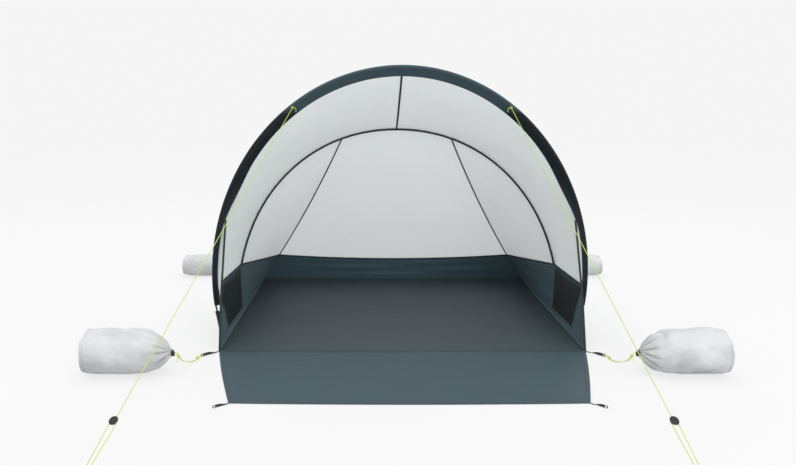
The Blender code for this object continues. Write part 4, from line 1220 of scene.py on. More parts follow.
flap_rows = np.linspace(0, 1, 45)
flap_side_line = np.array([[flap_half(v) - 0.009, flap_y(v, 1.0)] for v in flap_rows])
front_shares = np.linspace(-1, 1, 81)
flap_front_line = np.array([[(FLAP_FRONT_HALF_WIDTH - 0.004) * s, flap_y(1.0, s) + 0.009]
                            for s in front_shares])
join_line = np.array([[flap_wide * 0.998 * s, -FLOOR_HALF_DEPTH - 0.002] for s in front_shares])
floor_line = floor_edge.copy()
floor_line[:, 0] -= 0.006
floor_back = rear_floor.copy()
floor_back[:, 1] -= 0.006
hem_parts = []
for line, height, width, doubled in (
        (on_ground(flap_side_line, 0.0026), 0, 0.018, True),
        (on_ground(flap_front_line, 0.0030), 0, 0.018, False),
        (on_ground(join_line, 0.0030), 0, 0.012, False),
        (on_ground(floor_line[:, :2], 0.0028), 0, 0.008, True),
        (on_ground(floor_back[:, :2], 0.0028), 0, 0.008, False)):
    flat_normals = np.repeat(UP[None], len(line), axis=0)
    hem_parts.append(skin(ribbon(line, flat_normals, width, 0.0014)))
    if doubled:
        hem_parts.append(skin(ribbon(mirrored(line), flat_normals, width, 0.0014)))
ground_hems = piece("ground_hems", hem_parts, ground_cloth)
print("hems", len(hem_parts))

# %% [markdown]
# ## Poles and sleeves
#
# Each pole runs in a tube of dark cloth.  The front sleeve has a wide tail at the top, where
# it reaches back to the roof, and a narrow one down the sides.  Its cloth is gathered a
# little along the pole, which shows as small ripples that fade towards the seam.

# %% Numbers of a sleeve's section
SLEEVE_BORE = 0.0054
ROUND_ANGLES = np.radians(np.linspace(58, 302, 16))
TAIL_ANGLES = np.radians(np.linspace(302, 418, 8)[1:-1])


def sleeve_section(station, place, ripple):
    """The outside and the bore of a sleeve at one station."""
    swell = 1 + ripple * math.sin(place * TURN / 0.034) + 0.6 * ripple * math.sin(place * 71.0)
    radius = SLEEVE_RADIUS * (1 + 0.5 * (swell - 1) * np.cos(ROUND_ANGLES / 2) ** 2)
    outside = [(r * math.cos(a), r * math.sin(a)) for r, a in zip(radius, ROUND_ANGLES)]
    tail = station.reach + 0.002
    lift = 0.0012 * ripple / 0.06 * math.sin(place * TURN / 0.049)
    middle = mix(SLEEVE_RADIUS, tail, 0.35)
    outside += [(middle, -0.0014 + lift), (mix(middle, tail, 0.6), -0.0011), (tail, -0.0010),
                (tail, 0.0010), (mix(middle, tail, 0.6), 0.0011), (middle, 0.0014 + lift)]
    around = [(SLEEVE_BORE * math.cos(a), SLEEVE_BORE * math.sin(a))
              for a in (*ROUND_ANGLES, *TAIL_ANGLES)]
    return [[station.pole + a * station.toward + b * station.side for a, b in shape]
            for shape in (outside, around)]


def sleeve_skin(stations, ripple):
    """The outside of a whole sleeve from foot to foot, turned in at its ends to the bore."""
    poles = np.array([s.pole for s in stations])
    lengths = running_length(poles)
    right = [sleeve_section(s, place, ripple) for s, place in zip(stations, lengths)]
    outer = [np.array(section[0]) for section in right]
    inner = [np.array(section[1]) for section in right]
    outer = [mirrored(ring) for ring in outer[:0:-1]] + outer
    inner = [mirrored(ring) for ring in inner[:0:-1]] + inner
    return skin(outer + inner[::-1] + outer[:1], capped=False)


front_sleeve = piece("front_sleeve_cloth", [sleeve_skin(front_stations, 0.06)], sleeve_cloth,
                     ["front_sleeve"])
rear_sleeve = piece("rear_sleeve_cloth", [sleeve_skin(rear_stations, 0.05)], sleeve_cloth,
                    ["rear_sleeve"])
print("sleeves", len(front_sleeve.data.polygons), len(rear_sleeve.data.polygons))

# %% [markdown]
# The poles show only below the sleeves, where each ends in a webbing pocket.  Glass-fibre
# poles have a steel ferrule at each joint; no ferrule is made here.

# %% Poles and their ends
POLE_RADIUS = 0.00475
POCKET_FLOOR = 0.004
POCKET_HEIGHT = 0.100


def pole_foot(stations, arch, outside):
    foot = arch.at(arch.lengths[-1]) + outside * arch.outward(arch.lengths[-1])
    end = stations[-1].pole
    slant = unit(end - foot)
    rim = POLE_RADIUS * math.hypot(slant[0], slant[1])
    share = (end[2] - POCKET_FLOOR - REST_GAP - rim) / (end[2] - foot[2])
    return end + (foot - end) * share


feet = {}
for name, stations, arch, outside in (("front", front_stations, front_arch, 0.0),
                                      ("rear", rear_stations, rear_arch, REAR_SLEEVE_REACH)):
    foot = pole_foot(stations, arch, outside)
    half = [s.pole for s in stations] + list(straight(stations[-1].pole, foot, 6)[1:])
    line = np.array([mirrored(p) for p in half[:0:-1]] + half)
    feet[name] = (foot, stations[-1].pole)
    piece(f"{name}_pole_rod", [skin(tube(line, POLE_RADIUS, 14))], pole_glassfibre,
          [f"{name}_pole"])
print("pole feet", {k: [round(float(c), 3) for c in v[0]] for k, v in feet.items()})


# %% Webbing pockets for the pole ends
def pocket_rings(low, high, sign):
    """A pocket of folded webbing: flattened, a little slack, open at the top."""
    rings = []
    profile = [(0.000, 0.86), (0.004, 0.98), (0.03, 1.0), (0.07, 0.97), (0.094, 0.99),
               (0.096, 1.06), (0.100, 1.06), (0.1005, 1.0)]
    angles = TURN * np.arange(20) / 20
    for height, size in profile:
        centre = mix(low, high, height / POCKET_HEIGHT)
        x = np.sign(np.cos(angles)) * np.abs(np.cos(angles)) ** 0.7 * 0.0092 * size
        y = np.sign(np.sin(angles)) * np.abs(np.sin(angles)) ** 0.7 * 0.0160 * size
        rings.append(np.stack([sign * (centre[0] + x), centre[1] + y,
                               np.full(20, height)], axis=1))
    for height, size in ((0.0995, 0.0062), (0.080, 0.0060)):
        centre = mix(low, high, height / POCKET_HEIGHT)
        rings.append(np.stack([sign * (centre[0] + size * np.cos(angles)),
                               centre[1] + size * np.sin(angles), np.full(20, height)], axis=1))
    return rings


for side, sign in SIDES.items():
    parts = []
    marks = []
    for name in ("front", "rear"):
        foot, end = feet[name]
        slope = (end - foot) / (end[2] - foot[2])
        low = foot - slope * foot[2]
        high = foot + slope * (POCKET_HEIGHT - foot[2])
        parts.append(skin(pocket_rings(low, high, sign)))
        marks.append(low)
    inner_x = FLOOR_HALF_WIDTH + 0.006
    run = straight([sign * mix(inner_x, marks[0][0], 0.45), marks[0][1] - 0.012, 0.0013],
                   [sign * mix(inner_x, marks[1][0], 0.45), marks[1][1] + 0.012, 0.0013], 30)
    width = np.linspace((marks[0][0] - inner_x) * 0.95, (marks[1][0] - inner_x) * 0.95, 31)
    parts.append(skin(ribbon(run, np.repeat(UP[None], 31, axis=0), width, 0.0022)))
    piece(f"pole_pocket_webbing_{side}", parts, webbing, [f"pole_pockets_{side}"])
print("pole pockets done")

# %% [markdown]
# ## Guy lines
#
# A lime guy line runs from a webbing tab on the front sleeve to a peg.  Near its end it goes
# through a round slider, which doubles it and sets its tension.  It is pulled straight, so it
# is a taut line and not a slack cord.

# %% Numbers of the guy lines
GUY_TAB_X = 0.550
GUY_TAB_SIZE = (0.020, 0.0025, 0.022)
GUY_TAB_OFF_SLEEVE = 0.0007
GUY_TAB_TO_CORD = 0.0012
GUY_PEG_SPOTS = {"left": (-1.069, -2.060), "right": (0.883, -2.060)}
GUY_SLIDER_AT = 0.872
SLIDER_RADIUS = 0.016
SLIDER_THICKNESS = 0.006
SLIDER_STRAND_HALF = 0.012
SLIDER_HOLE_HALF = 0.0096
PEG_RADIUS = 0.003
PEG_HEIGHT = 0.030
PEG_HOOK = 0.010
GUY_LOOP_HEIGHT = 0.012


# %% Tabs, lines, sliders and pegs
SLIDER_PROFILE = [(-0.0030, 0.0), (-0.0030, 0.0125), (-0.0024, 0.0150), (-0.0008, 0.0160),
                  (0.0010, 0.0160), (0.0026, 0.0150), (0.0030, 0.0135), (0.0026, 0.0118),
                  (0.0012, 0.0108), (0.0010, 0.0072), (0.0022, 0.0062), (0.0026, 0.0040),
                  (0.0026, 0.0)]
for side, sign in SIDES.items():
    length = front_arch.length_at_width(GUY_TAB_X)
    pole = front_arch.at(length)
    along = front_arch.along(length)
    if sign < 0:
        pole, along = mirrored(pole), mirrored(along)
    peg = np.array([*GUY_PEG_SPOTS[side], GUY_LOOP_HEIGHT])
    out = squared(peg - pole, along)
    tab_start = pole + out * (SLEEVE_RADIUS + GUY_TAB_OFF_SLEEVE)
    reach = GUY_TAB_SIZE[2]
    x, y, z = local_axes(out, np.cross(out, along))
    direction = unit(peg - (tab_start + out * reach))
    start = tab_start + out * reach + direction * GUY_TAB_TO_CORD
    centre = mix(start, peg, GUY_SLIDER_AT)
    fx, fy, fz = local_axes(direction, UP)

    def spot(a, b, c):
        return centre + a * fx + b * fy + c * fz

    half = SLIDER_STRAND_HALF
    flat = squared(fy, UP)
    forward = squared(direction, UP)
    turn = PEG_RADIUS + CORD_RADIUS + REST_GAP
    line = list(straight(start, spot(-SLIDER_RADIUS, 0, 0), 40))
    line += [spot(0, SLIDER_HOLE_HALF, 0), spot(SLIDER_RADIUS, half, 0)]
    line += [peg + turn * (math.sin(a) * flat + math.cos(a) * forward)
             for a in np.radians(np.linspace(90, -90, 13))]
    line += [spot(SLIDER_RADIUS, -half, 0), spot(0, -SLIDER_HOLE_HALF, 0)]
    tied = start + direction * 0.005
    knots = [overhand(tied, direction, 0.0015, 0.0085),
             loose_tail(tied, np.array([-sign, 0.0, 0.0]), 0.0014),
             overhand(spot(0.004, -SLIDER_HOLE_HALF, -0.003), fz, 0.0012, 0.0050)]
    piece(f"guy_line_braid_{side}", [skin(tube(line, CORD_RADIUS, 10)), *knots], lime_cord,
          [f"guy_line_{side}"])

    loop = [tab_start + x * a + z * b for a, b in
            ((-0.004, -0.0014), (0.006, -0.0016), (0.014, -0.0026), (0.0195, -0.0030),
             (0.0225, -0.0014), (0.0225, 0.0014), (0.0195, 0.0030), (0.014, 0.0026),
             (0.006, 0.0016), (-0.004, 0.0014))]
    loop = smooth_route(loop, 0.0015)
    loop_normals = np.cross(tangents(loop), np.repeat(y[None], len(loop), axis=0))
    piece(f"guy_tab_tape_{side}", [skin(ribbon(loop, loop_normals, GUY_TAB_SIZE[0], 0.0012))],
          webbing, [f"guy_tab_{side}"])

    lift = SLIDER_THICKNESS / 2 + REST_GAP + CORD_RADIUS
    piece(f"guy_slider_disc_{side}", [skin(turned(SLIDER_PROFILE, spot(0, 0, lift), fz, 40),
                                           capped=False)],
          black_plastic, [f"guy_slider_{side}"], sharp=50)

    base = np.array([*GUY_PEG_SPOTS[side], 0.0])
    away = unit(np.array([base[0], base[1], 0.0]))
    straight_part = PEG_HEIGHT - PEG_HOOK
    bend = [base + np.array([0, 0, h]) for h in np.linspace(0.0005, straight_part, 8)]
    bend += [base + PEG_HOOK * (1 - math.cos(a)) * away
             + np.array([0, 0, straight_part + PEG_HOOK * math.sin(a)])
             for a in np.radians(np.linspace(8, 130, 18))]
    piece(f"guy_peg_wire_{side}", [skin(tube(bend, PEG_RADIUS - 0.0001, 14))], peg_steel,
          [f"guy_peg_{side}"])
print("guy lines done")

# %% [markdown]
# ## Corner straps and flap loops
#
# Each strap is a doubled tape that is sewn flat at the floor's corner, twists a quarter turn
# and stands on edge at its end, where a round eye takes the cord.  The twist is a ribbon whose
# normal turns as it goes.  The eye is a plate lofted round its hole, which leaves a clean rim.


# %% Tape with an eye
def eye_plate(centre, along, across, length, height, hole, thickness):
    """A plate round a hole, standing on edge, with softened rims inside and out."""
    rings = []
    for angle in np.linspace(0, TURN, 41):
        c, s = math.cos(angle), math.sin(angle)
        power = 4 if c > 0 else 8
        size = (abs(c / length) ** power + abs(s / (height / 2)) ** power) ** (-1 / power)
        ring = []
        for radius, side in ((hole, 0.4), (hole + 0.0005, 1.0), (size - 0.0006, 1.0),
                             (size, 0.4), (size, -0.4), (size - 0.0006, -1.0),
                             (hole + 0.0005, -1.0), (hole, -0.4)):
            ring.append(centre + radius * c * along + radius * s * UP
                        + side * thickness / 2 * across)
        rings.append(ring)
    return skin(rings, capped=False)


def eyed_tape(root, tip, hole_back, height, thickness, hole):
    """A tape that leaves the ground sheet flat and stands on edge at its eye."""
    root = np.array([*root, 0.0])
    tip = np.array([*tip, 0.0])
    along = unit(tip - root)
    across = np.cross(UP, along)
    length = float(np.linalg.norm(tip - root))
    centre = length - hole_back
    stops = np.linspace(0.0, centre - hole - 0.0005, 26)
    twist = smooth_step(stops / stops[-1], 0.10, 0.85)[:, None]
    widths = mix(height * 0.55, height, twist[:, 0])
    rise = thickness / 2 + 0.0002 + (widths / 2 - thickness / 2) * np.sin(twist[:, 0] * math.pi / 2)
    path = root + stops[:, None] * along + rise[:, None] * UP
    normals = np.cos(twist * math.pi / 2) * UP + np.sin(twist * math.pi / 2) * across
    eye = eye_plate(root + centre * along + height / 2 * UP, along, across, hole_back, height,
                    hole, thickness)
    return [skin(ribbon(path, normals, widths, thickness * 0.96)), eye]


LOOP_REACH = (0.054, 0.046)
LOOP_HOLE_BACK = 0.008
LOOP_HEIGHT = 0.012
STRAP_HOLE = 0.0042
for side, sign in SIDES.items():
    flip = np.array([sign, 1.0])
    for place in BAGS:
        parts = eyed_tape(*strap_line(place, sign), STRAP_HOLE_BACK, STRAP_HEIGHT,
                          STRAP_THICKNESS, STRAP_HOLE)
        piece(f"corner_strap_tape_{place}_{side}", parts, webbing,
              [f"corner_strap_{place}_{side}"])
    corner = np.array([FLAP_FRONT_HALF_WIDTH, -FLOOR_HALF_DEPTH - FLAP_LENGTH])
    loop_out = np.array([LOOP_REACH[0], -LOOP_REACH[1]])
    parts = eyed_tape((corner + unit(loop_out) * 0.0006) * flip, (corner + loop_out) * flip,
                      LOOP_HOLE_BACK, LOOP_HEIGHT, STRAP_THICKNESS, STRAP_HOLE)
    piece(f"flap_loop_tape_{side}", parts, webbing, [f"flap_loop_{side}"])
print("straps and loops done")

# %% [markdown]
# ## Cord stoppers and knots
#
# Each bag is closed by a spring stopper: an upright ribbed barrel with a push button on top,
# which the doubled cord passes through.  The cord is knotted just in front of it.

# %% Stoppers and knots
BARREL = [(0.0, 0.0), (0.0, 0.0062), (0.0012, 0.0077), (0.0040, 0.0080), (0.0052, 0.0073),
          (0.0064, 0.0080), (0.0120, 0.0080), (0.0132, 0.0073), (0.0144, 0.0080),
          (0.0180, 0.0079), (0.0196, 0.0070), (0.0200, 0.0052), (0.0262, 0.0050),
          (0.0276, 0.0042), (0.0280, 0.0)]
for place, bag in BAGS.items():
    for side, sign in SIDES.items():
        foot = np.array([sign * (bag.neck_x - REST_GAP - LOCK_RADIUS), bag.y,
                         bag.neck_height - LOCK_LENGTH / 2])
        barrel = skin(turned(BARREL, foot, UP, 28), capped=False)
        piece(f"stopper_{place}_{side}", [barrel], black_plastic,
              [f"cord_lock_{place}_{side}"], sharp=50)
print("stoppers done")

# %% [markdown]
# ## Sandbags
#
# Each bag is a round-bottomed sack of soft cloth, drawn in to a neck, filled with sand and laid
# on its side.  A lofted shape sets the size, a little too small.  Blender's cloth then fills it
# from inside with slightly long threads, which gives the loose buckles of a soft sack.

# %% Shape of a filled sack
BAG_PROFILE = ((0.000, 0.19), (0.030, 0.26), (0.090, 0.52), (0.170, 0.77), (0.300, 0.94),
               (0.480, 1.00), (0.720, 0.99), (0.900, 0.98), (0.972, 0.96), (0.988, 0.91),
               (0.996, 0.70), (1.000, 0.20))
SACK_SIDES = 64
SACK_RINGS = 90


def sack_rings(bag, inset):
    """Rings of a slumped sack on the right-hand side, closer together at its sewn end."""
    rings = []
    body = np.linspace(0.0, 0.96, SACK_RINGS - 16)
    for share in (*body, *np.linspace(0.96, 1.0, 17)[1:]):
        fullness = float(np.interp(share, *zip(*BAG_PROFILE)))
        lift = float(mix(bag.neck_height, bag.height / 2, smooth_step(share, 0.0, 0.4)))
        angle = TURN * np.arange(SACK_SIDES) / SACK_SIDES
        c, s = np.cos(angle), np.sin(angle)
        half_width = max(bag.width / 2 * fullness - inset, 0.0045)
        half_height = max(bag.height / 2 * fullness - inset, 0.0045)
        y = bag.y + half_width * np.sign(c) * np.abs(c) ** 0.92
        power = np.where(s < 0, 0.72, 1.0)
        z = lift + half_height * np.sign(s) * np.abs(s) ** power
        x = np.full(SACK_SIDES, bag.neck_x + (bag.far_x - 2 * inset - bag.neck_x) * share)
        rings.append(np.stack([x, y, np.maximum(z, 0.0008)], axis=1))
    return np.array(rings)


print("sack rings", sack_rings(BAGS["front"], 0.0).shape)

# %% [markdown]
# The simulation runs on a copy that is remeshed to even faces.  Pressure pushes it outward,
# gravity is off because the shape already slumps, and no point may move further than a cap, so
# the sack keeps to its place.  Its modifiers are used up before the piece is made.

# %% Fill the sacks
SACK_VOXEL = 0.0065
SACK_PRESSURE = 3.0
SACK_SLACK = -0.07
SACK_FRAMES = 20
SACK_CAP = 0.012


def loose_object(name, points, faces):
    mesh = bpy.data.meshes.new(name)
    mesh.from_pydata([tuple(p) for p in points], [], faces)
    made = bpy.data.objects.new(name, mesh)
    bpy.context.scene.collection.objects.link(made)
    return made


def baked(made):
    """The mesh of an object with its modifiers applied."""
    depsgraph = bpy.context.evaluated_depsgraph_get()
    mesh = bpy.data.meshes.new_from_object(made.evaluated_get(depsgraph))
    return mesh


def points_of(mesh):
    flat = np.empty(3 * len(mesh.vertices))
    mesh.vertices.foreach_get("co", flat)
    return flat.reshape(-1, 3)


def directions_of(mesh):
    return np.array([vertex.normal for vertex in mesh.vertices])


def filled_sack(name, bag):
    """A sack on the right-hand side, filled by cloth simulation."""
    points, faces, _ = skin(sack_rings(bag, 0.008))
    rough = loose_object(name, points, faces)
    even = rough.modifiers.new("even", "REMESH")
    even.mode = "VOXEL"
    even.voxel_size = SACK_VOXEL
    mesh = baked(rough)
    bpy.data.objects.remove(rough)
    sack = bpy.data.objects.new(name, mesh)
    bpy.context.scene.collection.objects.link(sack)
    before = points_of(mesh)
    fill = sack.modifiers.new("fill", "CLOTH")
    fill.settings.quality = 6
    fill.settings.mass = 0.2
    fill.settings.tension_stiffness = 12
    fill.settings.compression_stiffness = 12
    fill.settings.bending_stiffness = 0.25
    fill.settings.shrink_min = SACK_SLACK
    fill.settings.use_pressure = True
    fill.settings.uniform_pressure_force = SACK_PRESSURE
    fill.settings.effector_weights.gravity = 0
    fill.point_cache.frame_start = 1
    fill.point_cache.frame_end = SACK_FRAMES
    for frame in range(1, SACK_FRAMES + 1):
        bpy.context.scene.frame_set(frame)
    mesh = baked(sack)
    bpy.context.scene.frame_set(1)
    bpy.data.objects.remove(sack)
    after = points_of(mesh)
    move = after - before
    far = np.linalg.norm(move, axis=1, keepdims=True)
    after = before + move * np.minimum(1.0, SACK_CAP / np.maximum(far, 1e-9))
    after[:, 2] = np.maximum(after[:, 2], 0.0006)
    mesh.vertices.foreach_set("co", after.ravel())
    mesh.update()
    print(name, len(mesh.polygons), "faces, moved up to", round(float(far.max()) * 1000, 1), "mm")
    return mesh


filled = {place: filled_sack(f"filled_{place}", bag) for place, bag in BAGS.items()}

# %% [markdown]
# Folds that are finer than the simulated mesh are added along its normals after one
# subdivision.  They radiate from the neck, run softly along the sack and crumple all over.
# The left and right sacks take different folds, and a cylinder's unrolled surface gives the UVs.

# %% Fold the sacks


def ridges(points, along_scale, round_scale, seed):
    """Smooth noise that is stretched along a sack, between -1 and 1."""
    return np.array([noise.noise((p[0] * along_scale + seed, p[1] * round_scale - seed,
                                  p[2] * round_scale + 3 * seed)) for p in points])


def folded(points, normals, bag, seed):
    """Moves the points of a sack, and gives each one a painted shade: darker low down and deep in the
    folds.
    """
    along = np.clip((points[:, 0] - bag.neck_x) / (bag.far_x - bag.neck_x), 0.0, 1.0)
    angle = np.arctan2(points[:, 2] - bag.height / 2, points[:, 1] - bag.y)
    near_neck = np.exp(-((along - 0.05) / 0.11) ** 2)
    pleat = 1.0 - np.abs(np.sin(5.5 * angle + seed + 0.9 * np.sin(2 * angle + seed)))
    pleats = near_neck * pleat ** 1.5
    deep = np.exp(-((angle - 0.5 * math.cos(seed) + math.pi * (angle > 2.6) + 1.3 * along) / 0.16) ** 2)
    deep *= smooth_step(along, 0.02, 0.08) * (1 - smooth_step(along, 0.22, 0.5))
    body = smooth_step(along, 0.08, 0.26) * (1 - smooth_step(along, 0.88, 0.97))
    folds = ridges(points, 5.0, 11.0, seed)
    creases = np.zeros(len(points))
    for scale, depth in ((1.0, 1.0), (1.7, 0.6)):
        line = np.abs(ridges(points, 6.0 * scale, 13.0 * scale, seed + scale))
        creases += depth * (1.0 - np.minimum(1.0, 2.6 * line)) ** 2
    creases *= 0.25 + 0.75 * body
    crumple = ridges(points, 24.0, 30.0, seed)
    dents = ridges(points, 10.0, 15.0, seed + 5.0) * (0.4 + 0.6 * body)
    rim = np.exp(-((along - 0.955) / 0.014) ** 2)
    seam = np.exp(-((along - 0.935) / 0.010) ** 2)
    move = -0.0110 * pleats - 0.0150 * deep + 0.0080 * body * folds - 0.0060 * creases
    move += 0.0028 * crumple + 0.0050 * dents
    move += 0.0030 * rim * (1.0 + 0.6 * np.sin(5.0 * angle + seed))
    move -= 0.0016 * seam
    low = smooth_step(points[:, 2], 0.0, 0.03)
    # Painted shade: darker towards the bottom, in the pleats at the neck, in the deep fold and along
    # the seam, and lighter on fold ridges and dents.
    height = np.clip(points[:, 2] / bag.height, 0.0, 1.0)
    soiled = 1.05 * (1.0 - height) ** 1.5 + 0.55 * pleats + 0.70 * deep
    soiled += 0.20 * seam - 0.25 * folds - 0.22 * dents - 0.10 * crumple
    return points + normals * (move * low)[:, None], np.clip(soiled, 0.0, 1.0)


def sack_uvs(mesh, bag):
    """The sack's surface unrolled round its axis, in metres."""
    layer = mesh.uv_layers.new(name="UVMap")
    around = TURN * (bag.width + bag.height) / 4
    places = points_of(mesh)
    turns = np.arctan2(places[:, 2] - bag.height / 2, places[:, 1] - bag.y) / TURN
    corners = np.empty(len(mesh.loops), dtype=np.int32)
    mesh.loops.foreach_get("vertex_index", corners)
    sizes = np.empty(len(mesh.polygons), dtype=np.int32)
    mesh.polygons.foreach_get("loop_total", sizes)
    starts = np.repeat(np.concatenate([[0], np.cumsum(sizes)[:-1]]), sizes)
    turn = turns[corners]
    turn = turn - np.round(turn - turn[starts])
    uvs = np.stack([places[corners, 0], turn * around], axis=1)
    layer.data.foreach_set("uv", uvs.astype(np.float32).ravel())


for place, bag in BAGS.items():
    finer = bpy.data.objects.new(f"finer_{place}", filled[place])
    bpy.context.scene.collection.objects.link(finer)
    finer.modifiers.new("finer", "SUBSURF").levels = 1
    smoothed = baked(finer)
    bpy.data.objects.remove(finer)
    for side, sign in SIDES.items():
        mesh = smoothed.copy()
        mesh.name = f"sandbag_sack_{place}_{side}"
        seed = bag.y * 3.0 + sign * 1.7
        points, soiled = folded(points_of(mesh), directions_of(mesh), bag, seed)
        # The painted shade goes into an attribute that the sack's paint reads.
        mark = mesh.attributes.new("soiled", "FLOAT", "POINT")
        mark.data.foreach_set("value", soiled.astype(np.float32))
        points[:, 2] = np.maximum(points[:, 2], 0.0006)
        points[:, 0] = np.maximum(points[:, 0], bag.neck_x + 0.0004)
        mesh.vertices.foreach_set("co", points.ravel())
        sack_uvs(mesh, bag)
        if sign < 0:
            mesh.vertices.foreach_set("co", mirrored(points).ravel())
            mesh.flip_normals()
        mesh.update()
        mesh.shade_smooth()
        mesh.materials.clear()
        mesh.materials.append(sack_cloth.material)
        sack = bpy.data.objects.new(mesh.name, mesh)
        bpy.context.scene.collection.objects.link(sack)
        settle(sack, [f"sandbag_{place}_{side}"])
print("sandbags done")

# %% [markdown]
# ## Stitching
#
# A sewing machine leaves a stitch every few millimetres along each seam.  The rows follow the
# seams laid out above, and a Geometry Nodes tree spaces small rounded stitches along them and
# turns each one along its row.

# %% Rows of stitches
STITCH_LIFT = 0.0004


def beside(line, normals, offset):
    return np.asarray(line) + np.asarray(normals) * offset


tape_face = TAPE / 2 + STITCH_LIFT
half_rows = [
    beside(arch_fin, arch_normals, -tape_face),
    beside(hem_line, hem_normals, tape_face),
    beside(wall_top, top_normals, -tape_face),
    beside(wall_top, top_normals, tape_face),
    beside(seam_line, seam_normals, -tape_face),
    beside(corner_seam, corner_normals, -tape_face),
    beside(net_edge, net_edge_normals, -tape_face),
]
for stations, edge_back in ((front_stations, 0.0045), (rear_stations, 0.0030)):
    for hand in (1, -1):
        half_rows.append(np.array([s.pole + (s.reach - edge_back) * s.toward
                                   + hand * 0.0014 * s.side for s in stations]))
canopy_rows = half_rows + [mirrored(row) for row in half_rows]
canopy_rows.append(ridge - UP * (0.0010 + tape_face))
canopy_rows.append(beside(rear_top, np.repeat(unit(STRAIGHT_BACK)[None], len(rear_top), axis=0),
                          -tape_face))
ground_rows = []
for shift in (-0.006, 0.005):
    side_row = on_ground(flap_side_line + np.array([shift, 0.0]), 0.0026 + 0.0007 + STITCH_LIFT)
    ground_rows += [side_row, mirrored(side_row)]
    ground_rows.append(on_ground(flap_front_line + np.array([0.0, shift]),
                                 0.0030 + 0.0007 + STITCH_LIFT))
for shift in (-0.0035, 0.0035):
    ground_rows.append(on_ground(join_line + np.array([0.0, shift]),
                                 0.0030 + 0.0007 + STITCH_LIFT))
print("rows", len(canopy_rows), len(ground_rows))

# %% The tree that sews
STITCH_SPACING = 0.0068
STITCH_LENGTH = 0.0040
THREAD_RADIUS = 0.00042
STITCH_SEED = 11

group = bpy.data.node_groups.new("stitch_rows", "GeometryNodeTree")
for name, kind in (("Lines", "NodeSocketGeometry"), ("Spacing", "NodeSocketFloat"),
                   ("Length", "NodeSocketFloat"), ("Radius", "NodeSocketFloat"),
                   ("Thread", "NodeSocketMaterial")):
    group.interface.new_socket(name, in_out="INPUT", socket_type=kind)
group.interface.new_socket("Stitches", in_out="OUTPUT", socket_type="NodeSocketGeometry")
sewing = Board(group)
entry = group.nodes.new("NodeGroupInput")
given = {socket.name: Wire(sewing, socket) for socket in entry.outputs if socket.name}
curve = sewing.node("GeometryNodeMeshToCurve", inputs={0: given["Lines"]})
spaced = sewing.node("GeometryNodeResampleCurve", {"mode": "LENGTH"},
                     {"Curve": curve, "Length": given["Spacing"]})
bead = sewing.node("GeometryNodeMeshIcoSphere", inputs={"Radius": 1.0, "Subdivisions": 1})
size = sewing.node("ShaderNodeCombineXYZ", inputs={
    0: given["Length"] * 0.5, 1: given["Radius"], 2: given["Radius"]})
stitch = sewing.node("GeometryNodeTransform", inputs={"Geometry": bead, "Scale": size})
heading = sewing.node("FunctionNodeAlignRotationToVector", {"axis": "X"},
                      {"Vector": sewing.node("GeometryNodeInputTangent")})
uneven = sewing.node("FunctionNodeRandomValue", {"data_type": "FLOAT"},
                     {2: 0.88, 3: 1.12, 8: STITCH_SEED}, output=1)
placed = sewing.node("GeometryNodeInstanceOnPoints", inputs={
    "Points": spaced, "Instance": stitch, "Rotation": heading, "Scale": uneven})
realized = sewing.node("GeometryNodeRealizeInstances", inputs={0: placed})
threaded = sewing.node("GeometryNodeSetMaterial", inputs={
    "Geometry": realized, "Material": given["Thread"]})
leave = group.nodes.new("NodeGroupOutput")
sewing.plug(leave.inputs["Stitches"], threaded)


def sewn(name, rows):
    """A piece that is nothing but stitches along the rows."""
    points = []
    edges = []
    for row in rows:
        clear = [tuple(p) for p in row if p[2] > STITCH_LENGTH * 0.8]
        edges += [(len(points) + k, len(points) + k + 1) for k in range(len(clear) - 1)]
        points += clear
    mesh = bpy.data.meshes.new(name)
    mesh.from_pydata(points, edges, [])
    lines = bpy.data.objects.new(name, mesh)
    bpy.context.scene.collection.objects.link(lines)
    machine = lines.modifiers.new("machine", "NODES")
    machine.node_group = group
    values = {"Spacing": STITCH_SPACING, "Length": STITCH_LENGTH, "Radius": THREAD_RADIUS,
              "Thread": thread.material}
    for item in group.interface.items_tree:
        if item.name in values:
            machine[item.identifier] = values[item.name]
    stitches = baked(lines)
    bpy.data.objects.remove(lines)
    stitches.name = name
    stitches.shade_smooth()
    made = bpy.data.objects.new(name, stitches)
    bpy.context.scene.collection.objects.link(made)
    print(name, len(stitches.polygons), "faces")
    return settle(made)


canopy_stitching = sewn("canopy_stitching", canopy_rows)
ground_stitching = sewn("ground_stitching", ground_rows)

# %% [markdown]
# ## What each cloth was cut to
#
# Before it is sewn, each panel is a flat piece of cloth.  Its width and length are measured
# along the seams, and its area is the area of the made-up sheet, because a taut panel hardly
# stretches.

floor_size = (2 * floor_half, floor_rear + FLOOR_HALF_DEPTH)
flap_size = (2 * (flap_wide + 0.006), FLAP_LENGTH + FLAP_BOW)


def declared(made, width, depth, held, rests_on, with_pieces=()):
    area = min(sheet_area(made), width * depth)
    print(made.name, round(width, 3), "by", round(depth, 3), "m, area", round(area, 3), "m2")


declared(canopy_roof, roof_width, roof_depth, "stretched",
         ["front_sleeve_cloth", "rear_sleeve_cloth"], [canopy_stitching])
declared(canopy_rear, rear_width, rear_depth, "stretched", ["rear_sleeve_cloth", "tub_walls"])
declared(tub_walls, tub_width, tub_depth, "stretched", ["floor_sheet"])
declared(floor_sheet, *floor_size, "laid", ["studio_floor"])
declared(flap_sheet, *flap_size, "laid", ["studio_floor"], [ground_stitching, ground_hems])
for pocket in net_pockets.values():
    declared(pocket, net_width, net_depth, "hung", ["tub_walls"])

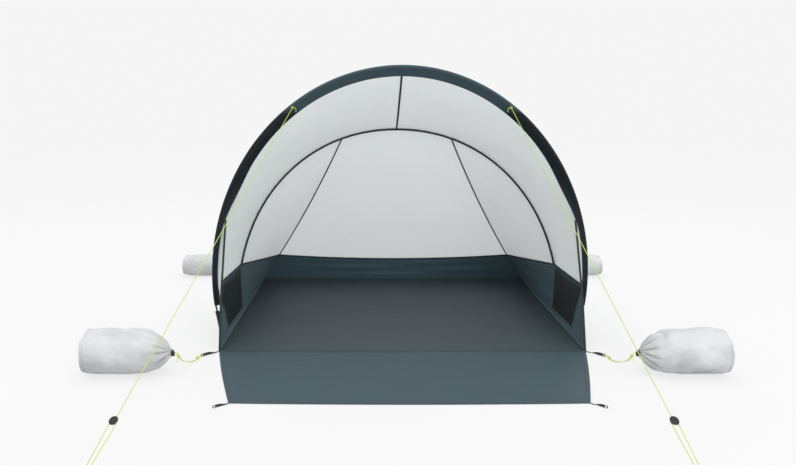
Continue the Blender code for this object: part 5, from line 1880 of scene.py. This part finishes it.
# %% [markdown]
# ## Floor and light
#
# The floor is a plain pale sheet that glows a little, so that it keeps the tone of the sky and
# only a faint shadow lies on it.  Light comes from the even sky and two large soft lamps.

# %% Stage and lights
WHITE = 0.918
FLOOR_TONE = 0.25
ground_paint = Paint("studio_floor", Roughness=0.9, Emission_Strength=1.0)
speckle = ground_paint.cloud(1.5, 1.0)
ground_paint.set("Base Color", ground_paint.blend(speckle, (FLOOR_TONE - 0.005,) * 3,
                                                  (FLOOR_TONE + 0.005,) * 3))
ground_paint.shader.inputs["Specular IOR Level"].default_value = 0.0
glow = WHITE * (1.0 - FLOOR_TONE)
ground_paint.shader.inputs["Emission Color"].default_value = (glow, glow, glow, 1.0)
floor_mesh = bpy.data.meshes.new("studio_floor")
floor_mesh.from_pydata([(-60, -60, -0.0006), (60, -60, -0.0006), (60, 60, -0.0006),
                        (-60, 60, -0.0006)], [], [(0, 1, 2, 3)])
floor_mesh.materials.append(ground_paint.material)
studio_floor = bpy.data.objects.new("studio_floor", floor_mesh)
bpy.context.scene.collection.objects.link(studio_floor)

sky = bpy.data.worlds.new("studio_sky")
sky.use_nodes = True
sky.node_tree.nodes["Background"].inputs["Color"].default_value = (WHITE, WHITE, WHITE, 1.0)
sky.node_tree.nodes["Background"].inputs["Strength"].default_value = 1.0
bpy.context.scene.world = sky


def soft_lamp(name, place, target, size, power):
    lamp = bpy.data.lights.new(name, "AREA")
    lamp.shape = "SQUARE"
    lamp.size = size
    lamp.energy = power
    made = bpy.data.objects.new(name, lamp)
    made.location = place
    aim = np.asarray(target, dtype=float) - np.asarray(place, dtype=float)
    flat_distance = math.hypot(aim[0], aim[1])
    made.rotation_euler = (math.atan2(flat_distance, -aim[2]), 0,
                           math.atan2(aim[1], aim[0]) - math.pi / 2)
    bpy.context.scene.collection.objects.link(made)


soft_lamp("overhead", (-0.3, 0.0, 7.0), (0, 0, 0.5), 5.0, 80)
soft_lamp("front_fill", (3.5, -8.5, 2.4), (0, 0.2, 0.8), 3.0, 120)
print("stage set")
